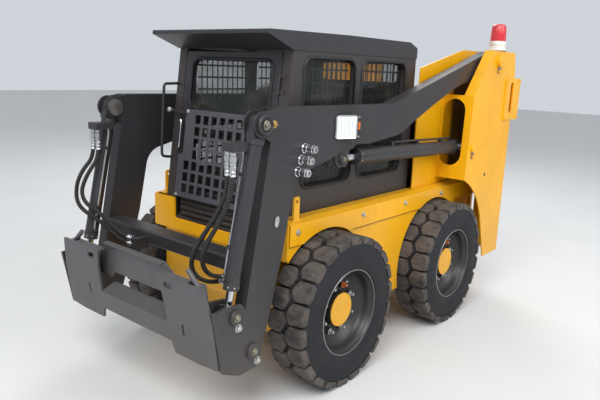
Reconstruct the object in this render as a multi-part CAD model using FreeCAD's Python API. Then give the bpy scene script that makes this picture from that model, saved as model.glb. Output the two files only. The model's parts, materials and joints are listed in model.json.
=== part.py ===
import FreeCAD, Part
import math
import os

# Skid steer loader at its real size, in millimetres.
# +Z up, -Y to the machine's front, +X to its left hand side.
# Lengths along Y are first laid out from the middle of the wheelbase and moved by Y_SHIFT on export,
# so that the finished machine is centred on the origin, standing on z = 0.

V = FreeCAD.Vector
X_AXIS, Y_AXIS, Z_AXIS = V(1, 0, 0), V(0, 1, 0), V(0, 0, 1)

# Overall
FRONT_END = -1512.0
TOWER_REAR = 1425.0
REAR_END = TOWER_REAR + 105.0
Y_SHIFT = -(FRONT_END + REAR_END) / 2
SIDES = {"left": 1, "right": -1}

# Wheels
WHEELBASE = 1215.0
TYRE_R = 415.0
TYRE_OUT = 724.0
TYRE_WIDTH = 235.0
LUG_DEPTH = 24.0
LUGS_PER_ROW = 22
LUG_TIP = 0.36
LUG_ROOT = 0.41
FACETS = 2 * LUGS_PER_ROW
BEAD_R = TYRE_R - 179.0
BEAD_GAP = 0.3
RIM_WALL = 9.0
RIM_LIP = 10.0
DISC_THICK = 14.0
HUB_R = 93.0
HUB_OUT = TYRE_OUT - 68.0
DISC_X = TYRE_OUT - 134.0
SPINDLE_R = 45.0
RUNNING_GAP = 0.05
SEAT_GAP = 0.3
WHEEL_Y = {"front": -WHEELBASE / 2, "rear": WHEELBASE / 2}

# Chassis
TUB_HALF = 440.0
TUB_WALL = 10.0
TUB_BOTTOM = 250.0
TUB_TOP = 790.0
TUB_FRONT = -920.0
TUB_REAR = TOWER_REAR - 40.0
PLATE = 8.0
SKIRT_X = TUB_HALF + 92.0
SILL_X = TUB_HALF + 100.0
SILL_LIP = 799.0
SILL_CREASE = 912.0
SILL_TOP = 926.0
SKIRT_BOTTOM = 300.0
ARCH_R = TYRE_R + 18.0
FRONT_PANEL_BOTTOM = 722.0

# Towers
TOWER_OUT = 690.0
TOWER_IN = TUB_HALF + 26.0
TOWER_TOP = 1850.0
TOWER_FOOT = 340.0
DOOR_HINGE_X = 460.0

# Pins, as (y, z)
LIFT_PIVOT = (1105.0, 1782.0)
LIFT_BASE = (796.0, 1190.0)
LIFT_EYE = (-600.0, 1228.0)
TILT_TOP = (-1198.0, 1429.0)
TILT_EYE = (-1372.0, 590.0)
COUPLER_PIVOT = (-1256.0, 392.0)

# Boom
ARM_IN = 530.0
ARM_OUT = 602.0
ARM_MID = (ARM_IN + ARM_OUT) / 2
PIVOT_HUB_R = 62.0
PIVOT_PIN_R = 28.0
KNEE_R = 61.0
BEAM_TOP = 809.0
BEAM_BOTTOM = 735.0

# Cylinders
LIFT_BARREL_R = 45.0
LIFT_ROD_R = 22.0
LIFT_GLAND = 1236.0
LIFT_ROD_START = 520.0
TILT_BARREL_R = 35.0
TILT_ROD_R = 18.0
TILT_GLAND = 745.0
TILT_ROD_START = 380.0
EYE_WIDTH = 48.0
EYE_R = 40.0
EYE_PIN_R = 20.0
EYE_STEP = 26.0
CAP_LIP = 5.0
CAP_DEPTH = 24.0
GLAND_LIP = 2.0
GLAND_DEPTH = 46.0
UNION_GAP = 1.3

# Coupler
COUPLER_HALF = 598.0
COUPLER_PIN_R = 24.0
EAR_PLATE = 14.0
EAR_GAP = 4.0
FACE_PLATE = 12.0
PANEL_BACK = 58.0
LEVER_X = 506.0
FACE_TOP = (-1512.0, 736.0)
FACE_BOTTOM = (-1446.0, 338.0)

# Cab
CAB_HALF = TUB_HALF - 9.0
CAB_WALL = 30.0
CAB_FLOOR = 10.0
CAB_TOP = 1765.0
CAB_REAR = 390.0
CAB_FRONT_LOW = (-918.0, 930.0)
CAB_FRONT_HIGH = (-814.0, 1765.0)
DOOR_HALF = 364.0
DOOR_GAP = 5.0
DOOR_THICK = 26.0
DOOR_LOW = 12.0
DOOR_HIGH = 826.0
HINGE_R = 8.0
HINGE_OUT = 8.5
HINGE_HEIGHTS = (120, 640)
GLASS = 6.0
WINDOW_LAP = 12.0
REAR_WINDOW = (320.0, 1612.0, 1725.0)
HOOD_HINGE = (410.0, 1577.0)
HOOD_HINGES = (-200.0, 200.0)
HOOD_FRONT = 402.0
HOOD_REAR = TUB_REAR - 13.0
HOOD_HALF = TOWER_IN - 11.0

# Hoses of the tilt cylinders: x, y, z of each point from the upper union to the lower one
HOSE_R = 10.0
HOSES = {
    "left_inner": ((505, -1320, 1249.7), (505, -1320, 1150), (480, -1338, 1059), (418, -1345, 962),
                   (347, -1346, 875), (288, -1336, 790), (258, -1318, 718), (282, -1292, 664),
                   (332, -1258, 650), (380, -1240, 668), (428, -1240, 668)),
    "left_outer": ((545, -1325, 1249.7), (545, -1325, 1150), (522, -1344, 1061), (470, -1352, 968),
                   (411, -1356, 883), (370, -1348, 802), (354, -1322, 738), (368, -1286, 698),
                   (408, -1250, 697), (452, -1250, 697)),
    "right_inner": ((-505, -1320, 1249.7), (-505, -1320, 1162), (-533, -1362, 1090), (-556, -1388, 1020),
                    (-562, -1398, 960), (-528, -1390, 908), (-462, -1354, 868), (-390, -1330, 812),
                    (-306, -1312, 764), (-215, -1312, 764)),
    "right_outer": ((-545, -1325, 1249.7), (-545, -1325, 1162), (-588, -1374, 1085), (-612, -1398, 1000),
                    (-600, -1406, 915), (-548, -1396, 868), (-474, -1352, 824), (-398, -1326, 772),
                    (-308, -1312, 732), (-215, -1312, 732)),
}

parts = {}


def add(name, *solids):
    parts.setdefault(name, []).extend(solids)


def box(x0, x1, y0, y1, z0, z1):
    return Part.makeBox(x1 - x0, y1 - y0, z1 - z0, V(x0, y0, z0))


def edges_of(points, place):
    """Closed outline through (u, v) or (u, v, corner radius) points."""
    count = len(points)
    ends = []
    for i, (u, v, *rest) in enumerate(points):
        corner = V(u, v, 0)
        radius = rest[0] if rest else 0
        if not radius:
            ends.append((corner, None, corner))
            continue
        before = (V(*points[i - 1][:2], 0) - corner).normalize()
        after = (V(*points[(i + 1) % count][:2], 0) - corner).normalize()
        half = before.getAngle(after) / 2
        reach = radius / math.tan(half)
        middle = corner + (before + after).normalize() * (radius / math.sin(half) - radius)
        ends.append((corner + before * reach, middle, corner + after * reach))
    edges = []
    for i, (start, middle, stop) in enumerate(ends):
        if middle is not None:
            edges.append(Part.Arc(place(start), place(middle), place(stop)).toShape())
        following = ends[(i + 1) % count][0]
        if (following - stop).Length > 1e-6:
            edges.append(Part.makeLine(place(stop), place(following)))
    return edges


def slab(points, axis, low, high):
    """Outline extruded along an axis; its points are the two other coordinates in X, Y, Z order."""
    places = {"x": lambda p: V(low, p.x, p.y), "y": lambda p: V(p.x, low, p.y), "z": lambda p: V(p.x, p.y, low)}
    travel = {"x": X_AXIS, "y": Y_AXIS, "z": Z_AXIS}[axis] * (high - low)
    return Part.Face(Part.Wire(Part.__sortEdges__(edges_of(points, places[axis])))).extrude(travel)


def rod(axis, low, high, a, b, radius):
    """Round bar along an axis, with its centre at the two other coordinates in X, Y, Z order."""
    base = {"x": V(low, a, b), "y": V(a, low, b), "z": V(a, b, low)}[axis]
    return Part.makeCylinder(radius, high - low, base, {"x": X_AXIS, "y": Y_AXIS, "z": Z_AXIS}[axis])


def prism(axis, low, high, a, b, radius, sides=6):
    """Bar with flat sides along an axis, laid out as rod is."""
    turns = [2 * math.pi * (i + 0.5) / sides for i in range(sides)]
    return slab([(a + radius * math.cos(t), b + radius * math.sin(t)) for t in turns], axis, low, high)


def pin_x(pin, low, high, radius):
    return rod("x", low, high, pin[0], pin[1], radius)


def head_x(pin, low, high, radius):
    """Head of a pin, a twelve sided disc."""
    return prism("x", low, high, pin[0], pin[1], radius, 12)


def bar_between(start, stop, radius):
    return Part.makeCylinder(radius, (stop - start).Length, start, stop - start)


def mirrored(shape):
    return shape.mirror(V(0, 0, 0), X_AXIS)


def on_side(shape, side):
    return shape if SIDES[side] > 0 else mirrored(shape)


def fused(*shapes):
    return shapes[0].multiFuse(list(shapes[1:])).removeSplitter()


def obround(axis, low, high, a, b, half_a, half_b):
    """Slot with round ends, longest along the second coordinate."""
    points = [(a - half_a, b - half_b, half_a * 0.99), (a + half_a, b - half_b, half_a * 0.99),
              (a + half_a, b + half_b, half_a * 0.99), (a - half_a, b + half_b, half_a * 0.99)]
    return slab(points, axis, low, high)


def along(pin, other, distance, offset=0.0):
    """(y, z) at a distance from a pin towards another, and off to the front side of that line."""
    y, z = other[0] - pin[0], other[1] - pin[1]
    length = math.hypot(y, z)
    return pin[0] + (distance * y + offset * z) / length, pin[1] + (distance * z - offset * y) / length


# Wheels

def faceted(section, sides=FACETS):
    """Ring about the X axis through (x, radius) points, turned with flat facets."""
    def corner(x, radius, i):
        angle = math.pi * (2 * i + 1) / sides
        return V(x, radius * math.sin(angle), radius * math.cos(angle))

    def patch(*corners):
        return Part.Face(Part.makePolygon([*corners, corners[0]]))

    faces = []
    for (x0, r0), (x1, r1) in zip(section, section[1:] + section[:1]):
        if r0 == r1 == 0:
            continue
        if x0 == x1 and 0 in (r0, r1):
            faces.append(patch(*(corner(x0, r0 + r1, i) for i in range(sides))))
            continue
        for i in range(sides):
            faces.append(patch(corner(x0, r0, i), corner(x0, r0, i + 1), corner(x1, r1, i + 1), corner(x1, r1, i)))
    shell = Part.makeShell(faces)
    shell.sewShape()
    solid = Part.Solid(shell)
    if solid.Volume < 0:
        solid.reverse()
    return solid


def tread_row(low, high, turn, groove, hole):
    """One row of tread blocks with sloping flanks; turn is its lead in pitches."""
    step = 2 * math.pi / LUGS_PER_ROW
    crest = TYRE_R / math.cos(step * (LUG_TIP - abs(turn)))
    corners = ((-LUG_ROOT, groove), (-LUG_TIP, crest), (LUG_TIP, crest), (LUG_ROOT, groove))
    points = []
    for i in range(LUGS_PER_ROW):
        for share, radius in corners:
            angle = (i + turn + share) * step
            points.append((radius * math.sin(angle), radius * math.cos(angle)))
    return slab(points, "x", low, high).cut(rod("x", low, high, 0, 0, hole))


def tyre():
    """Tyre about the X axis: a carcass and two staggered rows of blocks."""
    outer, inner = TYRE_OUT, TYRE_OUT - TYRE_WIDTH
    groove = TYRE_R - LUG_DEPTH
    shoulder = groove - 15
    bead = BEAD_R + BEAD_GAP
    edge, bulge = 6.0, 16.0
    carcass = faceted([(outer - bulge, bead), (outer, bead + 34), (outer - edge, shoulder), (inner + edge, shoulder),
                       (inner, bead + 34), (inner + bulge, bead)])
    middle = (outer + inner) / 2
    hole = (bead + shoulder) / 2
    rows = [tread_row(middle, outer - edge, 0.25, groove, hole), tread_row(inner + edge, middle, -0.25, groove, hole)]
    return fused(carcass, *rows)


def rim():
    """Dished wheel: barrel, sloping well, disc and the hub with its bore for the spindle."""
    outer, inner = TYRE_OUT - 10, TYRE_OUT - TYRE_WIDTH + 16
    seat, lip = BEAD_R, BEAD_R - RIM_LIP
    front, back = DISC_X + DISC_THICK, DISC_X
    wheel = faceted([(outer, seat), (outer, lip), (front + 36, lip - 18), (front, 150), (front, HUB_R - 20),
                     (back, HUB_R - 20), (back, 168), (inner + 10, lip), (inner, seat)])
    hub = faceted([(back, 0), (HUB_OUT, 0), (HUB_OUT, HUB_R), (back, HUB_R)], LUGS_PER_ROW)
    bore = rod("x", back - 1, DISC_X + 30, 0, 0, SPINDLE_R + RUNNING_GAP)
    return fused(wheel, hub).cut(bore)


def wheels():
    tyre_shape, rim_shape = tyre(), rim()
    for end, y in WHEEL_Y.items():
        for side in SIDES:
            for name, shape in (("tyre", tyre_shape), ("rim", rim_shape)):
                placed = on_side(shape.copy(), side)
                placed.translate(V(0, y, TYRE_R))
                add(f"{name}_{end}_{side}", placed)


# Chassis

def chassis():
    shell = slab([(TUB_FRONT, 430), (-830, TUB_BOTTOM), (TUB_REAR, TUB_BOTTOM), (TUB_REAR, TUB_TOP),
                  (TUB_FRONT, TUB_TOP)], "x", -TUB_HALF, TUB_HALF)
    low = TUB_BOTTOM + TUB_WALL
    hollow = slab([(TUB_FRONT + TUB_WALL, 434), (-825, low), (TUB_REAR - TUB_WALL, low),
                   (TUB_REAR - TUB_WALL, TUB_TOP + 5), (TUB_FRONT + TUB_WALL, TUB_TOP + 5)],
                  "x", -TUB_HALF + TUB_WALL, TUB_HALF - TUB_WALL)
    add("chassis_tub", shell.cut(hollow))

    panel = slab([(-SKIRT_X, FRONT_PANEL_BOTTOM, 12), (SKIRT_X, FRONT_PANEL_BOTTOM, 12), (SKIRT_X, SILL_CREASE),
                  (349, SILL_CREASE), (349, 785, 15), (-349, 785, 15), (-349, SILL_CREASE),
                  (-SKIRT_X, SILL_CREASE)], "y", TUB_FRONT - 12, TUB_FRONT)
    add("front_panel", panel)

    foot = [slab([(TUB_FRONT + 30, TUB_TOP + CAB_FLOOR), (TUB_FRONT + 36, TUB_TOP + CAB_FLOOR),
                  (TUB_FRONT + 36, SILL_CREASE), (TUB_FRONT + 30, SILL_CREASE)], "x", -345, 345)]
    for i in range(3):
        z = 815 + 34 * i
        foot.append(slab([(TUB_FRONT + 14, z, 4), (TUB_FRONT + 32, z - 6), (TUB_FRONT + 32, z + 18),
                          (TUB_FRONT + 14, z + 12, 4)], "x", -320, 320))
    add("footwell_panel", fused(*foot))

    for side in SIDES:
        for end, y in WHEEL_Y.items():
            housing = fused(box(TUB_HALF, TUB_HALF + 22, y - 105, y + 105, TYRE_R - 105, TYRE_R + 105),
                            prism("x", TUB_HALF + 22, DISC_X - 12, y, TYRE_R, 72, 16),
                            rod("x", DISC_X - 12, DISC_X + 28, y, TYRE_R, SPINDLE_R))
            add("axle_housings", on_side(housing, side))
    bumper = slab([(TUB_REAR, 300), (1490, 300, 30), (1500, 380), (1500, 500, 20), (TUB_REAR, 520)],
                  "x", -TOWER_IN, TOWER_IN)
    add("rear_counterweight", bumper)


def side_sill():
    """Box rail over the tyres with its crease, wheel arches and the skirt between the wheels."""
    t = 6.0
    rail = slab([(TUB_HALF, SILL_TOP), (SILL_X - 40, SILL_TOP), (SILL_X, SILL_CREASE), (SILL_X, SILL_LIP),
                 (SKIRT_X - t, SILL_LIP), (SKIRT_X - t, SILL_LIP + t), (SILL_X - t, SILL_LIP + t),
                 (SILL_X - t, SILL_CREASE - 4), (SILL_X - 42, SILL_TOP - t), (TUB_HALF, SILL_TOP - t)],
                "y", TUB_FRONT, TUB_REAR)
    skirt = box(SKIRT_X - t, SKIRT_X, TUB_FRONT, 920, SKIRT_BOTTOM, SILL_LIP + t)
    floor = box(TUB_HALF, SKIRT_X, -150, 150, SKIRT_BOTTOM, SKIRT_BOTTOM + t)
    keep = box(TUB_HALF, SKIRT_X, TUB_FRONT, 1050, SILL_LIP - 40, SILL_TOP - 40)
    discs = [rod("x", TUB_HALF, SKIRT_X, y, TYRE_R, ARCH_R + t).common(keep) for y in WHEEL_Y.values()]
    body = fused(rail, skirt, floor, *discs)
    for y in WHEEL_Y.values():
        body = body.cut(rod("x", TUB_HALF - 5, SILL_X + 5, y, TYRE_R, ARCH_R))
    return body


def sills():
    post = slab([(-868, SILL_TOP - 12), (-826, SILL_TOP - 12), (-826, 1038), (-834, 1046), (-860, 1046),
                 (-868, 1038)], "x", 503, 515)
    post = post.cut(rod("x", 500, 520, -847, 1022, 9))
    foot = box(503, 515, -880, -814, SILL_TOP - 12, SILL_TOP + 2)
    sill = fused(side_sill(), post, foot)
    for side in SIDES:
        add("side_sills", on_side(sill.copy(), side))


# Towers

def tower():
    t = PLATE
    arch_start, arch_mid, arch_end = (714, 975), (866, 895), (1058, 640)
    place = lambda y, z: V(TOWER_OUT - t, y, z)
    corners = [(1164, TOWER_FOOT), (TOWER_REAR, TOWER_FOOT), (TOWER_REAR, 1690), (TOWER_REAR - 40, TOWER_TOP),
               (1010, TOWER_TOP), (743, 1544), arch_start]
    edges = [Part.Arc(place(*arch_start), place(*arch_mid), place(*arch_end)).toShape(),
             Part.makeLine(place(*arch_end), place(*corners[0]))]
    edges += [Part.makeLine(place(*a), place(*b)) for a, b in zip(corners, corners[1:])]
    outer = Part.Face(Part.Wire(Part.__sortEdges__(edges))).extrude(X_AXIS * t)
    outer = outer.cut(box(TOWER_OUT - 20, TOWER_OUT + 5, TOWER_REAR - 95, TOWER_REAR - 17, 1405, 1640))

    inner = slab([(386, SILL_TOP), (386, 1711, 15), (904, 1833), (1000, TOWER_TOP), (TOWER_REAR, TOWER_TOP),
                  (TOWER_REAR, SILL_TOP)], "x", TOWER_IN, TOWER_IN + t)
    front = slab([(714, 975), (743, 1544), (743 + t, 1544), (714 + t, 975)], "x", TOWER_IN + t, TOWER_OUT - t)
    front = front.cut(obround("y", 690, 760, 560, 1292, 80, 226))
    chamfer = slab([(743, 1544), (1010, TOWER_TOP), (1022, TOWER_TOP), (751, 1540)],
                   "x", 620, TOWER_OUT - t)
    rear = box(TOWER_IN + t, TOWER_OUT - t, TOWER_REAR - t, TOWER_REAR, TOWER_FOOT, 1690)
    top = box(TOWER_IN + t, TOWER_OUT - t, 1190, TOWER_REAR - 40, TOWER_TOP - t, TOWER_TOP)
    ledge = box(TOWER_IN - 20, TOWER_IN, 420, 1370, 1512, 1520)
    return fused(outer, inner, front, chamfer, rear, top, ledge)


def rear_door_hinges():
    """Fixed knuckles of the rear door, on the back of the right hand tower."""
    x, y = -DOOR_HINGE_X, TOWER_REAR + 6
    knuckles = []
    for z in (700, 1300):
        for low, high in ((z - 20, z - SEAT_GAP), (z + 60 + SEAT_GAP, z + 80)):
            knuckles.append(rod("z", low, high, x, y, 6))
            knuckles.append(box(x - 26, x - 2, TOWER_REAR, TOWER_REAR + 4, low, high))
    return knuckles


def towers():
    shape = tower()
    gap_in, gap_out = TOWER_IN + PLATE, TOWER_OUT - PLATE
    for side in SIDES:
        placed = on_side(shape.copy(), side)
        add("towers", placed if side == "left" else fused(placed, *rear_door_hinges()))
        pivot = pin_x(LIFT_PIVOT, gap_in, gap_out, PIVOT_PIN_R)
        pivot_head = fused(head_x(LIFT_PIVOT, TOWER_OUT, TOWER_OUT + 24, 44),
                           box(TOWER_OUT, TOWER_OUT + 10, 1085, 1125, 1700, 1750))
        base = pin_x(LIFT_BASE, gap_in, gap_out, EYE_PIN_R + 5)
        base_head = fused(head_x(LIFT_BASE, TOWER_OUT, TOWER_OUT + 16, 30),
                          box(TOWER_OUT, TOWER_OUT + 8, 780, 812, 1120, 1166))
        for piece in (pivot, pivot_head, base, base_head):
            add("tower_pins", on_side(piece, side))


def lamps_on_towers():
    for side in SIDES:
        frame = slab([(1262, 1364, 10), (REAR_END, 1364, 10), (REAR_END, 1667, 10), (1262, 1667, 10)],
                     "x", TOWER_OUT, TOWER_OUT + 10)
        frame = frame.cut(obround("x", TOWER_OUT - 5, TOWER_OUT + 15, 1372, 1525, 26, 112))
        shell = box(TOWER_IN + 60, TOWER_OUT, TOWER_REAR, REAR_END, 1364, 1667)
        shell = shell.cut(box(TOWER_IN + 68, TOWER_OUT - 6, TOWER_REAR - 1, REAR_END + 1, 1372, 1659))
        add("tail_lamp_guards", on_side(fused(frame, shell), side))
        lamp = box(TOWER_IN + 90, TOWER_OUT - 30, TOWER_REAR, TOWER_REAR + 40, 1400, 1630)
        eye = box(TOWER_OUT - 60, TOWER_OUT - 9, TOWER_REAR - 85, TOWER_REAR - PLATE, 1415, 1630)
        add("tail_lamps", on_side(lamp, side), on_side(eye, side))

    base_top, lens_top, flutes = TOWER_TOP + 78, 2049.0, 24
    pedestal = faceted([(TOWER_TOP, 0), (TOWER_TOP, 60), (base_top, 56), (base_top, 0)], flutes)
    dome = faceted([(base_top, 0), (base_top, 55), (lens_top - 12, 50), (lens_top, 38), (lens_top, 0)], flutes)
    for name, shape in (("beacon_base", pedestal), ("beacon_dome", dome)):
        shape.rotate(V(0, 0, 0), Y_AXIS, -90)
        shape.translate(V(588, 1288, 0))
        add(name, shape)


# Cab

def front_y(z, out=0.0):
    """Y of the cab's leaning front plane at a height."""
    (y0, z0), (y1, z1) = CAB_FRONT_LOW, CAB_FRONT_HIGH
    return y0 + (z - z0) * (y1 - y0) / (z1 - z0) - out


def cab():
    floor = TUB_TOP + CAB_FLOOR
    add("cab_floor", box(-CAB_HALF, CAB_HALF, TUB_FRONT, CAB_REAR, TUB_TOP, floor))
    wall_line = [(-918, floor), CAB_FRONT_LOW, CAB_FRONT_HIGH, (CAB_REAR, CAB_TOP), (CAB_REAR, floor)]
    side = slab(wall_line, "x", CAB_HALF - CAB_WALL, CAB_HALF)
    for y0, y1 in ((-722, -284), (-207, 262)):
        side = side.cut(slab([(y0, 1065, 55), (y1, 1065, 55), (y1, 1728, 55), (y0, 1728, 55)],
                             "x", CAB_HALF - CAB_WALL - 5, CAB_HALF + 5))
    post_in = DOOR_HALF + DOOR_GAP
    post = slab([(-918, floor), CAB_FRONT_LOW, CAB_FRONT_HIGH, (CAB_FRONT_HIGH[0] + CAB_WALL, CAB_TOP),
                 (CAB_FRONT_LOW[0] + CAB_WALL, CAB_FRONT_LOW[1]), (-888, floor)],
                "x", post_in, CAB_HALF - CAB_WALL)
    wall = fused(side, post)
    knuckles = []
    for h in HINGE_HEIGHTS:
        knuckles.append(rod("z", h - 16, h + 76, DOOR_HALF, -HINGE_OUT, 4))
        for low, high in ((h - 20, h - SEAT_GAP), (h + 60 + SEAT_GAP, h + 80)):
            knuckles.append(prism("z", low, high, DOOR_HALF, -HINGE_OUT, HINGE_R, 8))
            knuckles.append(box(DOOR_HALF + 2, DOOR_HALF + 36, -5, 1, low, high))
    add("cab_sides", fused(wall, door_place(fused(*knuckles))), mirrored(wall))
    inner = CAB_HALF - CAB_WALL
    rear = box(-inner, inner, CAB_REAR - CAB_WALL, CAB_REAR, floor, CAB_TOP)
    u, bottom, top = REAR_WINDOW
    rear = rear.cut(slab([(-u, bottom, 30), (u, bottom, 30), (u, top, 30), (-u, top, 30)],
                         "y", CAB_REAR - 40, CAB_REAR + 10))
    y, z = HOOD_HINGE
    hinges = []
    for x in HOOD_HINGES:
        hinges.append(rod("x", x - 46, x + 46, y, z, HINGE_R / 2))
        for low, high in ((x - 50, x - 25 - SEAT_GAP), (x + 25 + SEAT_GAP, x + 50)):
            hinges.append(prism("x", low, high, y, z, HINGE_R, 8))
            hinges.append(box(low, high, CAB_REAR, y, z, z + 6))
    add("cab_rear_wall", fused(rear, *hinges))
    roof = slab([(-823, CAB_TOP), (-1006, 1832, 6), (-1006, 1853, 8), (-350, 1863), (300, 1863), (CAB_REAR, 1830, 10),
                 (CAB_REAR, CAB_TOP)], "x", -CAB_HALF - 6, CAB_HALF + 6)
    add("cab_roof", roof)

    lap = WINDOW_LAP
    for name in SIDES:
        for y0, y1 in ((-722, -284), (-207, 262)):
            pane = box(CAB_HALF - CAB_WALL - GLASS, CAB_HALF - CAB_WALL, y0 - lap, y1 + lap, 1065 - lap, 1728 + lap)
            add("cab_glass", on_side(pane, name))
    add("cab_glass", box(-u - lap, u + lap, CAB_REAR - CAB_WALL - GLASS, CAB_REAR - CAB_WALL,
                         bottom - lap, top + lap))


def cab_inside():
    floor = TUB_TOP + CAB_FLOOR
    add("operator_station", box(-210, 210, -260, 240, floor, 1000))
    cushion = slab([(-280, 1000, 20), (250, 1000, 20), (250, 1085, 30), (-280, 1105, 40)], "x", -240, 240)
    back = slab([(180, 1087, 20), (300, 1087, 20), (350, 1600, 40), (260, 1600, 40)], "x", -225, 225)
    add("seat_cushions", cushion, back)
    for sign in (1, -1):
        x = 300 * sign
        console = box(x - 50, x + 50, -420, 60, floor, 1130)
        lever = bar_between(V(x, -360, 1125), V(x, -420, 1330), 9)
        knob = bar_between(V(x, -417, 1320), V(x, -428, 1385), 19)
        add("operator_station", fused(console, lever, knob))
    add("grab_rail", grab_rail())


def bends(points):
    """(start, middle, end, radius) of the arc at each inner point, as large as its two runs allow."""
    found = []
    for before, corner, after in zip(points, points[1:], points[2:]):
        a, b = (before - corner), (after - corner)
        run = min(a.Length, b.Length)
        a.normalize()
        b.normalize()
        half = a.getAngle(b) / 2
        reach = 0.45 * run
        radius = reach * math.tan(half)
        middle = corner + (a + b).normalize() * (radius / math.sin(half) - radius)
        found.append((corner + a * reach, middle, corner + b * reach, radius))
    return found


def tube(points, radius, sides=6):
    """Bar of straight runs joined by tangent arcs."""
    points = [V(*p) for p in points]
    edges, at = [], points[0]
    for start, middle, stop, _ in bends(points):
        edges += [Part.makeLine(at, start), Part.Arc(start, middle, stop).toShape()]
        at = stop
    edges.append(Part.makeLine(at, points[-1]))
    path = Part.Wire(edges)
    ring = Part.makeCircle(radius, points[0], points[1] - points[0])
    shape = path.makePipeShell([Part.makePolygon(ring.discretize(Number=sides + 1))], True, False)
    if shape.Volume < 0:
        shape.reverse()
    section = sides / 2 * radius ** 2 * math.sin(2 * math.pi / sides)
    tightest = min(bend[3] for bend in bends(points))
    print(f"bar r {radius:.0f}: tightest bend {tightest:.0f}, volume / (section x length) "
          f"{shape.Volume / (section * path.Length):.3f}")
    return shape


def grab_rail():
    x = -(CAB_HALF - 12)
    points = [(x, front_y(1566) - 1.5, 1566), (x, front_y(1566) - 110, 1564), (x, front_y(1150) - 75, 1150),
              (x, front_y(1140) - 1.5, 1142)]
    return tube(points, 8)


# Cab door, laid out flat against the leaning front plane: u across, h up the plane, n out to the front

def door_place(shape):
    """Tilt a shape drawn upright at y = 0, z = 0 onto the front plane of the cab."""
    lean = math.degrees(math.atan2(CAB_FRONT_HIGH[0] - CAB_FRONT_LOW[0], CAB_FRONT_HIGH[1] - CAB_FRONT_LOW[1]))
    shape.rotate(V(0, 0, 0), X_AXIS, -lean)
    shape.translate(V(0, *CAB_FRONT_LOW))
    return shape


def cab_door():
    panes = {"upper": (-300, 300, 512, 780, 45), "lower": (-305, 305, 50, 468, 30)}
    frame = slab([(-DOOR_HALF, DOOR_LOW), (DOOR_HALF, DOOR_LOW), (DOOR_HALF, DOOR_HIGH, 20),
                  (-DOOR_HALF, DOOR_HIGH, 20)], "y", 0, DOOR_THICK)
    for u0, u1, h0, h1, r in panes.values():
        frame = frame.cut(slab([(u0, h0, r), (u1, h0, r), (u1, h1, r), (u0, h1, r)], "y", -5, DOOR_THICK + 5))
        lap = WINDOW_LAP
        add("door_glass", door_place(box(u0 - lap, u1 + lap, DOOR_THICK, DOOR_THICK + GLASS, h0 - lap, h1 + lap)))
    hinges = []
    for h in HINGE_HEIGHTS:
        hinges.append(rod("z", h, h + 60, DOOR_HALF, -HINGE_OUT, HINGE_R))
        hinges.append(box(DOOR_HALF - 40, DOOR_HALF, -4, 0, h, h + 60))
    frame = fused(frame, *hinges)
    add("door_frame", door_place(frame.cut(rod("z", 0, DOOR_HIGH, DOOR_HALF, -HINGE_OUT, 4 + RUNNING_GAP))))

    guard_low, guard_high, thick, stand = -4.0, 500.0, 5.0, 16.0
    plate = slab([(-340, guard_low), (340, guard_low), (340, guard_high - 20), (320, guard_high), (-300, guard_high),
                  (-300, 250), (-340, 235)], "y", -stand - thick, -stand)
    pitch, wide, tall = 66.0, 44.0, 50.0
    holes = []
    for row in range(7):
        first = -4 if row < 3 else -3
        for column in range(first, 5):
            u = column * pitch
            h = 50 + row * pitch
            holes.append(box(u - wide / 2, u + wide / 2, -stand - thick - 2, -stand + 2, h - tall / 2, h + tall / 2))
    plate = plate.cut(Part.makeCompound(holes))
    studs = [box(u - 7, u + 7, -stand, 0, h - 7, h + 7) for u, h in ((-328, 6), (326, 6), (-288, 486), (318, 486))]
    add("door_guard", door_place(fused(plate, *studs)))
    grip = slab([(-338, 278), (-332, 270), (-324, 270), (-318, 278), (-318, 432), (-324, 440), (-332, 440), (-338, 432)],
                "y", -44, -32)
    feet = [box(-338, -318, -34, 0, h, h + 16) for h in (280, 414)]
    add("door_handle", door_place(fused(grip, *feet)))


# Engine bay

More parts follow.
